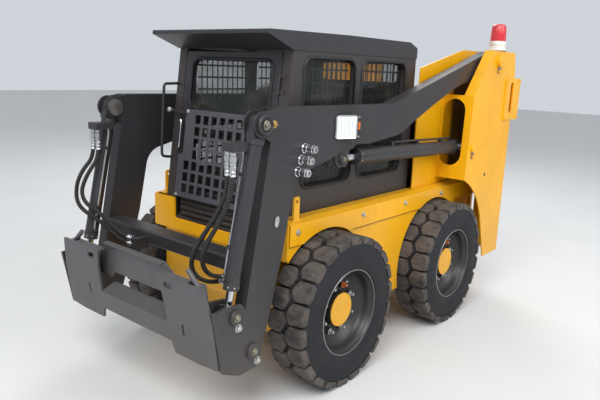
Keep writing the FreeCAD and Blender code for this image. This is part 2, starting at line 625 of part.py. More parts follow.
def engine_bay():
    low = TUB_BOTTOM + TUB_WALL
    block = box(-270, 270, 560, 1210, 420, 1120)
    feet = [box(x, x + 80, y, y + 80, low, 420) for x in (-260, 180) for y in (580, 1110)]
    add("engine_block", fused(block, *feet))
    add("radiator", box(-380, 380, TUB_REAR - 95, TUB_REAR - 35, low, 1440))

    hood_line = [(HOOD_FRONT, 1520.3), (HOOD_FRONT, 1560), (HOOD_FRONT + 8, 1566), (HOOD_REAR - 14, 1556),
                 (HOOD_REAR, 1544), (HOOD_REAR, 1520.3)]
    hood = slab(hood_line, "x", -HOOD_HALF, HOOD_HALF)
    inside = slab([(HOOD_FRONT + 18, 1515), (HOOD_FRONT + 18, 1545), (HOOD_REAR - 20, 1535), (HOOD_REAR - 20, 1515)],
                  "x", -HOOD_HALF + 30, HOOD_HALF - 30)
    slots = [box(-260, 260, y, y + 14, 1500, 1600) for y in range(980, 1260, 40)]
    hood = hood.cut(inside).cut(Part.makeCompound(slots))
    y, z = HOOD_HINGE
    for x in HOOD_HINGES:
        knuckle = fused(prism("x", x - 25, x + 25, y, z, HINGE_R, 8), box(x - 25, x + 25, y, y + 20, 1560, z + 4))
        hood = hood.fuse(knuckle)
        hood = hood.cut(rod("x", x - 30, x + 30, y, z, HINGE_R / 2 + RUNNING_GAP))
    add("hood", hood.removeSplitter())

    half, low, high = HOOD_HALF, 530, 1508
    door = slab([(-half, low), (half, low), (half, high - 20), (half - 20, high), (20 - half, high), (-half, high - 20)],
                "y", TUB_REAR + 5, TOWER_REAR)
    opening = (-350, 350, 640, 1400)
    door = door.cut(box(*opening[:2], TUB_REAR, TOWER_REAR + 5, *opening[2:]))
    x, y = -DOOR_HINGE_X, TOWER_REAR + 6
    for z in (700, 1300):
        door = fused(door, rod("z", z, z + 60, x, y, 6), box(x, x + 40, TOWER_REAR, TOWER_REAR + 4, z, z + 60))
    add("rear_door", door)
    stile, y = 14.0, TUB_REAR + 11
    louvres = [slab([(y, z), (y + 3, z), (y + 23, z + 22), (y + 20, z + 22)], "x", opening[0] + stile, opening[1] - stile)
               for z in range(660, 1380, 36)]
    stiles = [box(x0, x0 + stile, y - 3, y + 25, *opening[2:]) for x0 in (opening[0], opening[1] - stile)]
    add("rear_grille", fused(*stiles, *louvres))


# Boom

def arm():
    knee = TILT_TOP
    t = math.radians(15.0)
    hub_low = (LIFT_PIVOT[0] + PIVOT_HUB_R * math.sin(t), LIFT_PIVOT[1] - PIVOT_HUB_R * math.cos(t))
    line = [(knee[0] - 28, knee[1] + 54, 40), (-1111, 1500, 60), (-137, 1499, 120), (LIFT_PIVOT[0] - 20, 1843 - 8),
            (LIFT_PIVOT[0] + 10, LIFT_PIVOT[1]), hub_low, (626, 1589, 40), (336, 1481, 40), (-47, 1323, 60),
            (-352, 1291), (-428, 1295), (-486, 1295), (-504, 1275), (-578, 1267, 60), (-975, 1171, 120), (-1043, 831, 200), (-1147, 457, 60), (-1196, 300, 20),
            (-1318, 300, 30), (-1318, 440, 60), (-1255, 777, 200), (-1152, 1350), (-1180, 1366)]
    body = slab(line, "x", ARM_IN, ARM_OUT)
    hub = pin_x(LIFT_PIVOT, ARM_IN, ARM_OUT, PIVOT_HUB_R)
    cheek = pin_x(knee, ARM_IN, ARM_OUT, KNEE_R)
    ears = [slab([(-660, 1300), (-660, 1215), (-632, 1184), (-566, 1184), (-540, 1215), (-540, 1300)],
                 "x", x, x + 12) for x in (ARM_IN, ARM_OUT - 12)]
    body = fused(body, hub, cheek, *ears)
    slot = EYE_WIDTH / 2 + 3
    knee_slot = slab([(-1300, 1340), (-1145, 1340), (-1128, 1430, 30), (-1128, 1520), (-1300, 1520)],
                     "x", ARM_MID - slot, ARM_MID + slot)
    eye_slot = slab([(-680, 1100), (-515, 1100), (-515, 1297), (-680, 1295)], "x", ARM_MID - 24.5, ARM_MID + 24.5)
    body = body.cut(knee_slot).cut(eye_slot)
    for pin, radius in ((LIFT_PIVOT, PIVOT_PIN_R), (COUPLER_PIVOT, COUPLER_PIN_R)):
        body = body.cut(pin_x(pin, ARM_IN - 5, ARM_OUT + 5, radius + RUNNING_GAP))
    return body


def boom():
    shape = arm()
    slot = EYE_WIDTH / 2 + 3
    for side in SIDES:
        add("boom_arms", on_side(shape.copy(), side))
        knee_pin = pin_x(TILT_TOP, ARM_MID - slot, ARM_MID + slot, EYE_PIN_R)
        heads = [head_x(TILT_TOP, ARM_OUT, ARM_OUT + 16, 46), head_x(TILT_TOP, ARM_IN - 16, ARM_IN, 46),
                 fused(head_x(LIFT_EYE, ARM_OUT, ARM_OUT + 12, 30), box(ARM_OUT, ARM_OUT + 6, -590, -550, 1222, 1246))]
        for piece in (knee_pin, *heads):
            add("boom_pins", on_side(piece, side))
    beam = slab([(-1262, BEAM_BOTTOM + 8), (-1254, BEAM_BOTTOM), (-1158, BEAM_BOTTOM), (-1150, BEAM_BOTTOM + 8),
                 (-1150, BEAM_TOP - 8), (-1158, BEAM_TOP), (-1254, BEAM_TOP), (-1262, BEAM_TOP - 8)],
                "x", -ARM_IN, ARM_IN)
    beam = fused(beam, *hose_fittings())
    add("cross_beam", beam.cut(Part.makeCompound([shape, mirrored(shape)])))

    for side in SIDES:
        case = slab([(-688, 1338), (-680, 1330), (-520, 1330), (-520, 1460), (-680, 1460), (-688, 1452)], "x",
                    ARM_OUT, ARM_OUT + 40)
        add("work_lamps", on_side(case, side))
        lens = slab([(-600, 1342), (-594, 1336), (-532, 1336), (-526, 1342), (-526, 1448), (-532, 1454), (-594, 1454),
                     (-600, 1448)], "x", ARM_OUT + 40, ARM_OUT + 52)
        add("work_lamp_lenses", on_side(lens, side))
    for y, z in ((-916, 1307), (-939, 1254), (-961, 1199)):
        plug = fused(prism("x", ARM_OUT, ARM_OUT + 30, y, z, 21), prism("x", ARM_OUT + 30, ARM_OUT + 62, y, z, 15),
                     prism("x", ARM_OUT + 62, ARM_OUT + 74, y, z, 18))
        add("quick_couplers", plug)


def hose_fittings():
    """Blocks on the cross beam with the stubs that the lower ends of the hoses meet."""
    blocks = [box(486, ARM_IN, -1262, -1200, 656, BEAM_BOTTOM + 5), box(-200, -160, -1334, -1255, 716, 776)]
    reach = {"left": 490, "right": -196}
    for name, points in HOSES.items():
        x, y, z = points[-1]
        inside = reach[name.split("_")[0]]
        blocks.append(prism("x", x + SEAT_GAP, inside, y, z, 13))
    return blocks


def hoses():
    for name, points in HOSES.items():
        add(f"tilt_hose_{name}", tube(points, HOSE_R))


# Cylinders

def eye_plate(pin, other, reach, radius):
    """Link plate about X, round at a pin and square where it meets the bar towards another pin."""
    corners = ((reach, radius, 0), (reach, -radius, 0), (-radius, -radius, 0.99 * radius),
               (-radius, radius, 0.99 * radius))
    outline = [(*along(pin, other, distance, offset), corner) for distance, offset, corner in corners]
    return slab(outline, "x", ARM_MID - EYE_WIDTH / 2, ARM_MID + EYE_WIDTH / 2)


def barrel(pin, other, radius, gland, eye_r, pin_r, rod_r, *fittings):
    """Barrel with an eye plate at a pin, bored for its rod from near its cap to the open gland."""
    direction = V(0, other[0] - pin[0], other[1] - pin[1]).normalize()
    base = V(ARM_MID, *pin)
    start = eye_r + EYE_STEP

    def turned(low, high, r):
        return Part.makeCylinder(r, high - low, base + direction * low, direction)

    shape = fused(turned(start, gland, radius), turned(start, start + CAP_DEPTH, radius + CAP_LIP),
                  turned(gland - GLAND_DEPTH, gland, radius + GLAND_LIP), eye_plate(pin, other, start + 1, eye_r), *fittings)
    shape = shape.cut(turned(start + CAP_DEPTH, gland + 1, rod_r + RUNNING_GAP))
    return shape.cut(pin_x(pin, ARM_MID - EYE_WIDTH, ARM_MID + EYE_WIDTH, pin_r + RUNNING_GAP))


def piston_rod(pin, eye_at, rod_r, start):
    direction = V(0, eye_at[0] - pin[0], eye_at[1] - pin[1])
    length = direction.Length
    direction.normalize()
    shaft = Part.makeCylinder(rod_r, length - start - EYE_R, V(ARM_MID, *pin) + direction * start, direction)
    eye = eye_plate(eye_at, pin, EYE_R + 4, EYE_R)
    return fused(shaft, eye).cut(pin_x(eye_at, ARM_MID - EYE_WIDTH, ARM_MID + EYE_WIDTH, EYE_PIN_R + 2))


def cylinders():
    lift_barrel = barrel(LIFT_BASE, LIFT_EYE, LIFT_BARREL_R, LIFT_GLAND, EYE_R + 6, EYE_PIN_R + 5, LIFT_ROD_R)
    lift_rod = piston_rod(LIFT_BASE, LIFT_EYE, LIFT_ROD_R, LIFT_ROD_START)
    tilt_barrel = barrel(TILT_TOP, TILT_EYE, TILT_BARREL_R, TILT_GLAND, EYE_R, EYE_PIN_R, TILT_ROD_R, *port_block())
    tilt_rod = piston_rod(TILT_TOP, TILT_EYE, TILT_ROD_R, TILT_ROD_START)
    for side in SIDES:
        for name, shape in (("lift_barrel", lift_barrel), ("lift_rod", lift_rod),
                            ("tilt_barrel", tilt_barrel), ("tilt_rod", tilt_rod)):
            add(f"{name}_{side}", on_side(shape.copy(), side))


def port_block():
    """Block on the front of the tilt barrel's top, with the two unions that the hoses hang from."""
    y, z = along(TILT_TOP, TILT_EYE, 95)
    pieces = [box(ARM_MID - 78, ARM_MID, y - 123, y - 12, z - 22, z + 14)]
    for name in ("left_inner", "left_outer"):
        x, hose_y, top = HOSES[name][0]
        pieces.append(prism("z", top + UNION_GAP, z - 10, x, hose_y, 14))
    return pieces


# Coupler

def coupler():
    face = V(0, FACE_TOP[0] - FACE_BOTTOM[0], FACE_TOP[1] - FACE_BOTTOM[1])
    height = face.Length
    lean = math.degrees(math.atan2(-face.y, face.z))

    def on_face(shape):
        shape.rotate(V(0, 0, 0), X_AXIS, lean)
        shape.translate(V(0, *FACE_BOTTOM))
        return shape

    plate = slab([(232, height), (262, height * 0.78), (282, 60), (300, 0), (484, 0), (COUPLER_HALF, 10),
                  (COUPLER_HALF, 240), (560, height), ], "y", 0, FACE_PLATE)
    plate = plate.cut(obround("y", -5, FACE_PLATE + 5, 384, 150, 8, 32))
    plate = plate.cut(box(290, 340, -5, FACE_PLATE + 5, height - 60, height - 30))
    hook = slab([(0, height - 4), (0, height), (FACE_PLATE + 26, height + 2), (FACE_PLATE + 26, height - 8),
                 (FACE_PLATE, height - 10), (FACE_PLATE, height - 30)], "x", 232, LEVER_X - 56)
    plate = on_face(fused(plate, hook).cut(box(LEVER_X - 20, LEVER_X + 20, FACE_PLATE, 80, height - 80, height + 30)))
    beam = on_face(slab([(0, 60), (0, 160), (FACE_PLATE + 80, 178), (FACE_PLATE + 80, 60)], "x", -282, 282))
    inner = ARM_IN - EAR_GAP - EAR_PLATE
    panel = slab([(-inner, 230), (-240, 230), (-210, 265), (210, 265), (240, 230), (inner, 230), (inner, 385), (292, 385),
                  (236, 433), (-236, 433), (-292, 385), (-inner, 385)], "y", PANEL_BACK, PANEL_BACK + PLATE)
    lip = box(-236, 236, PANEL_BACK - 22, PANEL_BACK + PLATE, 427, 433)
    panel = on_face(fused(panel, lip))

    ear_line = [(-1500, 640), (-1423, 650, 20), (-1330, 640, 20), (-1196, 440, 30), (-1196, 372, 30),
                (-1222, 302, 30), (-1339, 296), (-1440, 340)]
    outer_low = ARM_OUT + EAR_GAP
    inner_high = ARM_IN - EAR_GAP
    ears = []
    for low in (outer_low, inner_high - EAR_PLATE):
        ears.append(slab(ear_line, "x", low, low + EAR_PLATE))
    tie = box(inner_high - EAR_PLATE, outer_low + EAR_PLATE, -1440, -1426, 345, 470)
    rib = box(inner_high, outer_low, -1462, -1448, 470, 640)
    bolts = [pin_x(COUPLER_PIVOT, inner_high, outer_low, COUPLER_PIN_R),
             head_x(TILT_EYE, outer_low + EAR_PLATE, outer_low + EAR_PLATE + 14, 34),
             head_x(COUPLER_PIVOT, outer_low + EAR_PLATE, outer_low + EAR_PLATE + 14, 38),
             head_x(TILT_EYE, inner_high - EAR_PLATE - 12, inner_high - EAR_PLATE, 32),
             head_x(COUPLER_PIVOT, inner_high - EAR_PLATE - 12, inner_high - EAR_PLATE, 36)]
    cheek = fused(*ears, tie, *bolts)
    cheek = cheek.cut(on_face(box(440, COUPLER_HALF + 1, -80, FACE_PLATE, -40, height + 40)))
    add("coupler_frame", fused(plate, mirrored(plate), beam), panel)
    for side in SIDES:
        add("coupler_ears", on_side(cheek.copy(), side))
    base = on_face(box(LEVER_X - 16, LEVER_X + 16, FACE_PLATE + SEAT_GAP, PANEL_BACK - 1, height - 60, height - 6))
    grip = bar_between(V(LEVER_X, -1480, 722), V(LEVER_X - 78, -1480, 791), 12)
    handle = fused(base, grip)
    add("coupler_levers", handle, mirrored(handle))


def build():
    wheels()
    chassis()
    sills()
    towers()
    lamps_on_towers()
    cab()
    cab_inside()
    cab_door()
    engine_bay()
    boom()
    cylinders()
    hoses()
    coupler()


def export():
    os.makedirs("parts", exist_ok=True)
    for name, solids in parts.items():
        flat = []
        for shape in solids:
            flat.extend(shape.Solids)
        whole = flat[0] if len(flat) == 1 else Part.makeCompound(flat)
        whole.translate(V(0, Y_SHIFT, 0))
        if not whole.isValid():
            print("not valid:", name)
        whole.exportStep(f"parts/{name}.step")
        b = whole.BoundBox
        print(f"{name:24s} {len(flat):3d}  x {b.XMin:7.0f} {b.XMax:7.0f}  y {b.YMin:7.0f} {b.YMax:7.0f}"
              f"  z {b.ZMin:7.0f} {b.ZMax:7.0f}")


build()
export()
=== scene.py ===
import json
import math

import bmesh
import bpy
from mathutils import Matrix, Vector


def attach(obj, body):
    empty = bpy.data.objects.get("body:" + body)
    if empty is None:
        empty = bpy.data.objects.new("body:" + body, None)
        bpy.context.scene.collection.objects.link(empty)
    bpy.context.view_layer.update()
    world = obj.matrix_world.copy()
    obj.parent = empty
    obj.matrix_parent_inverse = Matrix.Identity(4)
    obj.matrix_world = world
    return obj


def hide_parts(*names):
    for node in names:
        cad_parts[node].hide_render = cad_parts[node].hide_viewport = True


# Skid steer loader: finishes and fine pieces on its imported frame.
# Pieces are built in millimetres from the middle of the wheelbase, as the solids are, and TO_FRAME
# puts them into the frame in metres.

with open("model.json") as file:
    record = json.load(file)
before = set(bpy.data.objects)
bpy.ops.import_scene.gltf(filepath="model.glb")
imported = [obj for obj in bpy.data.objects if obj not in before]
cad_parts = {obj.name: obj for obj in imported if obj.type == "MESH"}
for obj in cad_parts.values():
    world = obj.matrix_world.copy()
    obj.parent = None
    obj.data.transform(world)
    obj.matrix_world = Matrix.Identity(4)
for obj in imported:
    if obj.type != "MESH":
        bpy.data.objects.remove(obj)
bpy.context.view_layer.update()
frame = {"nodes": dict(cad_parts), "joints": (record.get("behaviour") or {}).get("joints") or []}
NODES = frame["nodes"]

SPIN = {j["child"]: j for j in frame["joints"] if j["name"].endswith("_spin")}
MIDDLE_Y = sum(j["pos_m"][1] for j in SPIN.values()) / len(SPIN)
TO_FRAME = Matrix.Translation((0, MIDDLE_Y, 0)) @ Matrix.Scale(0.001, 4)
MIRROR = Matrix.Scale(-1, 4, (1, 0, 0))
SIDES = {"left": 1, "right": -1}

# Camera of the photograph, measured from the middle of the wheelbase
EYE = (2.4151, -3.1377, 1.6737)
YAW, PITCH, ROLL = 39.41, -12.19, 2.27
LENS = 36.34

# Sizes that the pieces share with the solids
TYRE_R, TYRE_MID, TYRE_HALF = 415.0, 606.5, 117.5
LUGS = 22
WHEEL_Y = {"front": -607.5, "rear": 607.5}
ARM_IN, ARM_OUT, ARM_MID = 530.0, 602.0, 566.0
EAR_OUT = 620.0
TOWER_OUT = 690.0
SILL_OUT = 540.0
RIM_FACE, HUB_R, WHEEL_BOLTS, BOLT_CIRCLE_R = 604.0, 93.0, 8, 131.0
BEACON_AT = (588, 1288, 0)
UNION_PLACES, UNION_Z = ((505, -1320), (545, -1325)), 1250
LAMP_LOW, LAMP_HIGH = 1330, 1460
OUTWARD = (1, 0, 0)
UPWARD = (0, 0, 1)
LIFT_PIVOT, LIFT_BASE, LIFT_EYE = (1105, 1782), (796, 1190), (-600, 1228)
TILT_TOP, TILT_EYE, COUPLER_PIVOT = (-1198, 1429), (-1372, 590), (-1256, 392)
DOOR_LEAN = math.atan2(104, 835)
DOOR_PLANE = Matrix.Translation((0, -918, 930)) @ Matrix.Rotation(-DOOR_LEAN, 4, "X")
FACE_LEAN = math.atan2(66, 398)
FACE_PLANE = Matrix.Translation((0, -1446, 338)) @ Matrix.Rotation(FACE_LEAN, 4, "X")

HOSE_R = 10.0
HOSE_GUARD_R, HOSE_GUARD_PITCH = 2.1, 13.0
HOSES = {
    "left_inner": ((505, -1320, 1249.7), (505, -1320, 1150), (480, -1338, 1059), (418, -1345, 962),
                   (347, -1346, 875), (288, -1336, 790), (258, -1318, 718), (282, -1292, 664),
                   (332, -1258, 650), (380, -1240, 668), (428, -1240, 668)),
    "left_outer": ((545, -1325, 1249.7), (545, -1325, 1150), (522, -1344, 1061), (470, -1352, 968),
                   (411, -1356, 883), (370, -1348, 802), (354, -1322, 738), (368, -1286, 698),
                   (408, -1250, 697), (452, -1250, 697)),
    "right_inner": ((-505, -1320, 1249.7), (-505, -1320, 1162), (-533, -1362, 1090), (-556, -1388, 1020),
                    (-562, -1398, 960), (-528, -1390, 908), (-462, -1354, 868), (-390, -1330, 812),
                    (-306, -1312, 764), (-215, -1312, 764)),
    "right_outer": ((-545, -1325, 1249.7), (-545, -1325, 1162), (-588, -1374, 1085), (-612, -1398, 1000),
                    (-600, -1406, 915), (-548, -1396, 868), (-474, -1352, 824), (-398, -1326, 772),
                    (-308, -1312, 732), (-215, -1312, 732)),
}


# Shader maths

class Wire:
    """A value in a material: arithmetic on it adds Math nodes."""

    def __init__(self, shader, socket):
        self.shader = shader
        self.socket = socket

    def __add__(self, other):
        return self.shader.math("ADD", self, other)

    def __sub__(self, other):
        return self.shader.math("SUBTRACT", self, other)

    def __rsub__(self, other):
        return self.shader.math("SUBTRACT", other, self)

    def __mul__(self, other):
        return self.shader.math("MULTIPLY", self, other)

    __radd__ = __add__
    __rmul__ = __mul__


class Shader:
    """A material being made, with one Principled surface."""

    def __init__(self, name, **fixed):
        self.material = bpy.data.materials.new(name)
        self.material.use_nodes = True
        self.tree = self.material.node_tree
        self.surface = self.tree.nodes["Principled BSDF"]
        for socket, value in fixed.items():
            self.surface.inputs[socket.replace("_", " ")].default_value = value

    def plug(self, value, socket):
        if isinstance(value, Wire):
            self.tree.links.new(value.socket, socket)
        else:
            socket.default_value = value

    def node(self, kind, settings=None, sockets=None, output=0):
        made = self.tree.nodes.new("ShaderNode" + kind)
        for name, value in (settings or {}).items():
            setattr(made, name, value)
        for name, value in (sockets or {}).items():
            self.plug(value, made.inputs[name])
        return Wire(self, made.outputs[output])

    def math(self, operation, a, b=0.0):
        return self.node("Math", {"operation": operation}, {0: a, 1: b})

    def place(self):
        return self.node("TexCoord", output="Object")

    def axes(self, vector=None):
        split = self.node("SeparateXYZ", sockets={0: vector or self.place()}).socket.node
        return [Wire(self, out) for out in split.outputs]

    def stretched(self, x, y, z):
        return self.node("Mapping", sockets={"Vector": self.place(), "Scale": (x, y, z)})

    def noise(self, scale, detail, vector=None):
        return self.node("TexNoise", sockets={"Vector": vector or self.place(), "Scale": scale,
                                              "Detail": detail, "Roughness": 0.55})

    def ramp(self, value, low, high):
        return self.node("MapRange", {"interpolation_type": "SMOOTHSTEP"}, {0: value, 1: low, 2: high})

    def most(self, *values):
        found = values[0]
        for value in values[1:]:
            found = self.math("MAXIMUM", found, value)
        return found

    def mix(self, factor, a, b):
        made = self.tree.nodes.new("ShaderNodeMix")
        made.data_type = "RGBA"
        for value, name in ((factor, "Factor"), (a, "A"), (b, "B")):
            found = [s for s in made.inputs if s.name == name and s.enabled]
            self.plug(value, found[0])
        return Wire(self, [s for s in made.outputs if s.enabled][0])

    def edge(self, radius):
        """1 along worn edges, 0 on open faces."""
        round_normal = self.node("Bevel", {"samples": 4}, {"Radius": radius})
        flat_normal = self.node("NewGeometry", output="Normal")
        dot = self.node("VectorMath", {"operation": "DOT_PRODUCT"}, {0: round_normal, 1: flat_normal}, "Value")
        return 1 - dot

    def bump(self, height, distance, strength=1.0):
        return self.node("Bump", sockets={"Height": height, "Distance": distance, "Strength": strength})

    def finish(self, **wired):
        for socket, value in wired.items():
            self.plug(value, self.surface.inputs[socket.replace("_", " ")])
        return self.material


# Finishes

SOIL = (0.2, 0.17, 0.13, 1)
SOIL_DAMP = (0.14, 0.119, 0.091, 1)
BARE_METAL = (0.09, 0.07, 0.055, 1)
# Near black, used as painted shade inside the hollows of the towers
HOLLOW_SHADE = (0.02, 0.016, 0.012, 1)


def shades(colour, spread):
    """The colour a share darker, and as much lighter."""
    dark = (*(c * (1 - spread) for c in colour[:3]), 1)
    light = (*(min(1, c * (1 + spread)) for c in colour[:3]), 1)
    return dark, light


def paint(name, colour, gloss, dust, chips, spread=0.08, inside=None):
    """Enamel with orange peel, dust on what faces up, splashes low down, streaks and bare chips on edges.
    Between the two inside widths from the middle it is darkened to near black: painted shade in the hollow."""
    s = Shader(name)
    x, y, z = s.axes()
    up = s.axes(s.node("TexCoord", output="Normal"))[2]
    cloud = s.noise(3.1, 5)
    grit = s.noise(46, 4)
    streak = s.noise(1, 4, vector=s.stretched(26, 26, 1.7))
    dark, light = shades(colour, spread)
    base = s.mix(s.ramp(cloud * 0.7 + streak * 0.3, 0.3, 0.7), dark, light)
    lying = s.ramp(up, 0.35, 0.95) * s.ramp(cloud * 0.6 + grit * 0.5, 0.35, 0.75) * dust
    low = s.ramp(grit * 0.3 + streak * 0.25 - z, -0.62, 0.05) * dust
    runs = s.ramp(streak, 0.56, 0.8) * 0.22 * dust
    dirt = s.most(lying, low, runs)
    dust_and_shade = s.mix(dirt, base, s.mix(grit, SOIL_DAMP, SOIL))
    # Painted shade: the hollow between the inside widths is mixed towards near black
    if inside:
        wide = s.math("ABSOLUTE", x)
        hollow = s.math("GREATER_THAN", wide, inside[0]) * s.math("LESS_THAN", wide, inside[1])
        hollow = hollow * s.ramp(y, 0.83, 0.9) * s.ramp(1.405 - y, 0.0, 0.02)
        hollow = hollow * s.ramp(z + grit * 0.1, 0.94, 1.02) * s.ramp(1.72 - z, 0.0, 0.1)
        dust_and_shade = s.mix(hollow * 0.93, dust_and_shade, HOLLOW_SHADE)
    chip = s.ramp(s.edge(0.003) * 2.2 + s.noise(95, 3) - 0.5, 0.34, 0.5) * chips
    worn = s.mix(chip, dust_and_shade, BARE_METAL)
    peel = s.noise(260, 2) * 0.4 + grit * 0.6
    return s.finish(Base_Color=worn, Roughness=gloss + dirt * 0.45 + grit * 0.08 + chip * 0.2,
                    Normal=s.bump(peel, 0.0006, 0.22))


def plain(name, colour, rough, texture=120, depth=0.0004, dust=0.0):
    """A fine grained surface whose tone and gloss vary a little, with dust where it faces up."""
    s = Shader(name)
    grain = s.noise(texture, 4)
    cloud = s.noise(9, 4)
    dark, light = shades(colour, 0.25)
    base = s.mix(s.ramp(cloud * 0.6 + grain * 0.4, 0.35, 0.65), dark, light)
    if dust:
        up = s.axes(s.node("TexCoord", output="Normal"))[2]
        base = s.mix(s.ramp(up + cloud * 0.6, 0.55, 1.4) * dust, base, SOIL)
    return s.finish(Base_Color=base, Roughness=rough + grain * 0.12, Normal=s.bump(grain, depth, 0.4))


def turned_metal(name, colour, rough, metal=1.0):
    """Lathe marked metal with a thin film of grease and a few rust specks."""
    s = Shader(name, Metallic=metal)
    film = s.noise(14, 4)
    marks = s.noise(1, 3, vector=s.stretched(900, 40, 40))
    rust = s.ramp(s.noise(60, 5) + film * 0.4, 0.82, 0.95)
    dark, light = shades(colour, 0.14)
    base = s.mix(rust * 0.6, s.mix(film, dark, light), (0.16, 0.075, 0.035, 1))
    return s.finish(Base_Color=base, Roughness=rough + s.ramp(film, 0.4, 0.8) * 0.18 + rust * 0.3,
                    Normal=s.bump(marks, 0.0002, 0.15))


def rubber(name, colour, dust_colour, amount):
    """Tyre rubber with fine mould marks, scuffs and caked dust."""
    s = Shader(name, Specular_IOR_Level=0.3)
    grain = s.noise(170, 5)
    cloud = s.noise(7, 5)
    scuff = s.noise(1, 4, vector=s.stretched(22, 55, 55))
    dark, light = shades(colour, 0.2)
    base = s.mix(s.ramp(grain * 0.5 + cloud * 0.5, 0.35, 0.65), dark, light)
    cake = s.ramp(cloud * 0.55 + scuff * 0.45 + grain * 0.15, 0.4, 0.72) * amount
    return s.finish(Base_Color=s.mix(cake, base, (*dust_colour, 1)), Roughness=0.66 + grain * 0.1 + cake * 0.2,
                    Normal=s.bump(grain * 0.6 + scuff * 0.4, 0.0009, 0.35))


def glass(name, colour, alpha):
    """Tinted pane with a wiped film of dust."""
    s = Shader(name, Specular_IOR_Level=0.6)
    smear = s.noise(5, 5)
    wiped = s.noise(1, 3, vector=s.stretched(3, 3, 14))
    film = s.ramp(smear * 0.6 + wiped * 0.4, 0.42, 0.75)
    return s.finish(Base_Color=s.mix(film * 0.5, colour, (0.16, 0.145, 0.12, 1)), Alpha=alpha + film * 0.16,
                    Roughness=0.03 + film * 0.16)


def lens(name, colour, rough=0.12, ribs=320.0):
    """Moulded lamp plastic with fine upright ribs, whose shading is also painted into the colour."""
    s = Shader(name, Specular_IOR_Level=0.6)
    x, y, z = s.axes()
    rib = s.math("SINE", (x + y) * ribs)
    cloud = s.noise(24, 3)
    dark, light = shades(colour, 0.12)
    # The ribs also stripe the colour lighter and darker: painted shading of the ribs
    return s.finish(Base_Color=s.mix(rib * 0.25 + cloud * 0.6, dark, light), Roughness=rough + cloud * 0.12,
                    Normal=s.bump(rib, 0.0008, 0.35))


YELLOW = paint("yellow_enamel", (0.80, 0.385, 0.002), 0.3, 0.14, 0.35)
# The towers' enamel carries painted shade in its hollow
TOWER_YELLOW = paint("tower_enamel", (0.80, 0.385, 0.002), 0.3, 0.14, 0.35, inside=(0.472, 0.6845))
CHARCOAL = paint("charcoal_enamel", (0.024, 0.0225, 0.026), 0.38, 0.2, 0.35)
GUARD_GREY = paint("guard_grey_enamel", (0.062, 0.062, 0.07), 0.4, 0.25, 0.35)
# Charcoal paint made lighter grey on the coupler: painted reflection of the sky
COUPLER_SHEEN_CHARCOAL = paint("coupler_sheen_charcoal_enamel", (0.066, 0.067, 0.073), 0.4, 0.3, 0.7, 0.16)
CAB_DARK = paint("cab_enamel", (0.035, 0.029, 0.027), 0.42, 0.3, 0.2)
RIM_PAINT = paint("rim_enamel", (0.008, 0.009, 0.011), 0.32, 0.12, 0.2)
SIDEWALL = rubber("tyre_sidewall", (0.011, 0.012, 0.016), (0.045, 0.04, 0.036), 0.25)
TREAD = rubber("tyre_tread", (0.034, 0.032, 0.031), (0.15, 0.125, 0.105), 0.62)
HOSE_RUBBER = rubber("hose_cover", (0.014, 0.014, 0.015), (0.07, 0.06, 0.05), 0.3)
RUBBER_TRIM = plain("trim_rubber", (0.008, 0.008, 0.009), 0.45)
BLACK = plain("black_plastic", (0.014, 0.014, 0.016), 0.46, dust=0.2)
STEEL = turned_metal("pin_steel", (0.34, 0.32, 0.3), 0.34)
PIN_HEAD = turned_metal("pin_head_steel", (0.3, 0.28, 0.22), 0.36)
NUT = turned_metal("zinc_nut", (0.5, 0.5, 0.48), 0.34, 0.8)
STEEL_LINE = turned_metal("steel_line", (0.5, 0.5, 0.5), 0.24)
# Light grey metal for the rim lip: painted highlight of its rolled edge
RIM_LIP_HIGHLIGHT = turned_metal("rim_lip_painted_highlight", (0.3, 0.3, 0.3), 0.34, 0.8)
CHROME = turned_metal("chrome_plate", (0.66, 0.66, 0.68), 0.09)
BRASS = turned_metal("brass_fitting", (0.55, 0.36, 0.12), 0.28)
CAST = turned_metal("cast_metal", (0.07, 0.065, 0.06), 0.6, 0.3)
GLASS = glass("cab_pane", (0.03, 0.036, 0.032, 1), 0.26)
RED_LENS = lens("red_lens", (0.6, 0.03, 0.035))
TAIL_LENS = lens("tail_lens", (0.75, 0.04, 0.02))
LAMP_FACE = lens("lamp_face", (0.7, 0.72, 0.7), 0.2, 210.0)
ORANGE = lens("orange_marker", (0.62, 0.13, 0.01))
WHITE = plain("white_plastic", (0.7, 0.69, 0.65), 0.4, dust=0.2)
VINYL = plain("seat_vinyl", (0.02, 0.02, 0.022), 0.48, texture=260, depth=0.0006)

FINISHES = (
    (YELLOW, "chassis_tub front_panel side_sills tail_lamp_guards rear_counterweight rear_door hood"),
    (TOWER_YELLOW, "towers"),
    (RUBBER_TRIM, "rear_grille"),
    (CAB_DARK, "cab_sides cab_floor cab_rear_wall footwell_panel operator_station"),
    (GUARD_GREY, "door_guard"),
    (COUPLER_SHEEN_CHARCOAL, "coupler_frame coupler_levers"),
    (STEEL, "tower_pins boom_pins"),
    (CHROME, "lift_rod_left lift_rod_right tilt_rod_left tilt_rod_right"),
    (GLASS, "cab_glass door_glass"),
    (TAIL_LENS, "tail_lamps"),
    (CAST, "engine_block radiator axle_housings"),
)


def dress_nodes():
    """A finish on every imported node; what isn't named is charcoal."""
    finish_of = {name: material for material, names in FINISHES for name in names.split()}
    for name, node in NODES.items():
        node.data.materials.clear()
        node.data.materials.append(finish_of.get(name, CHARCOAL))


# Building meshes

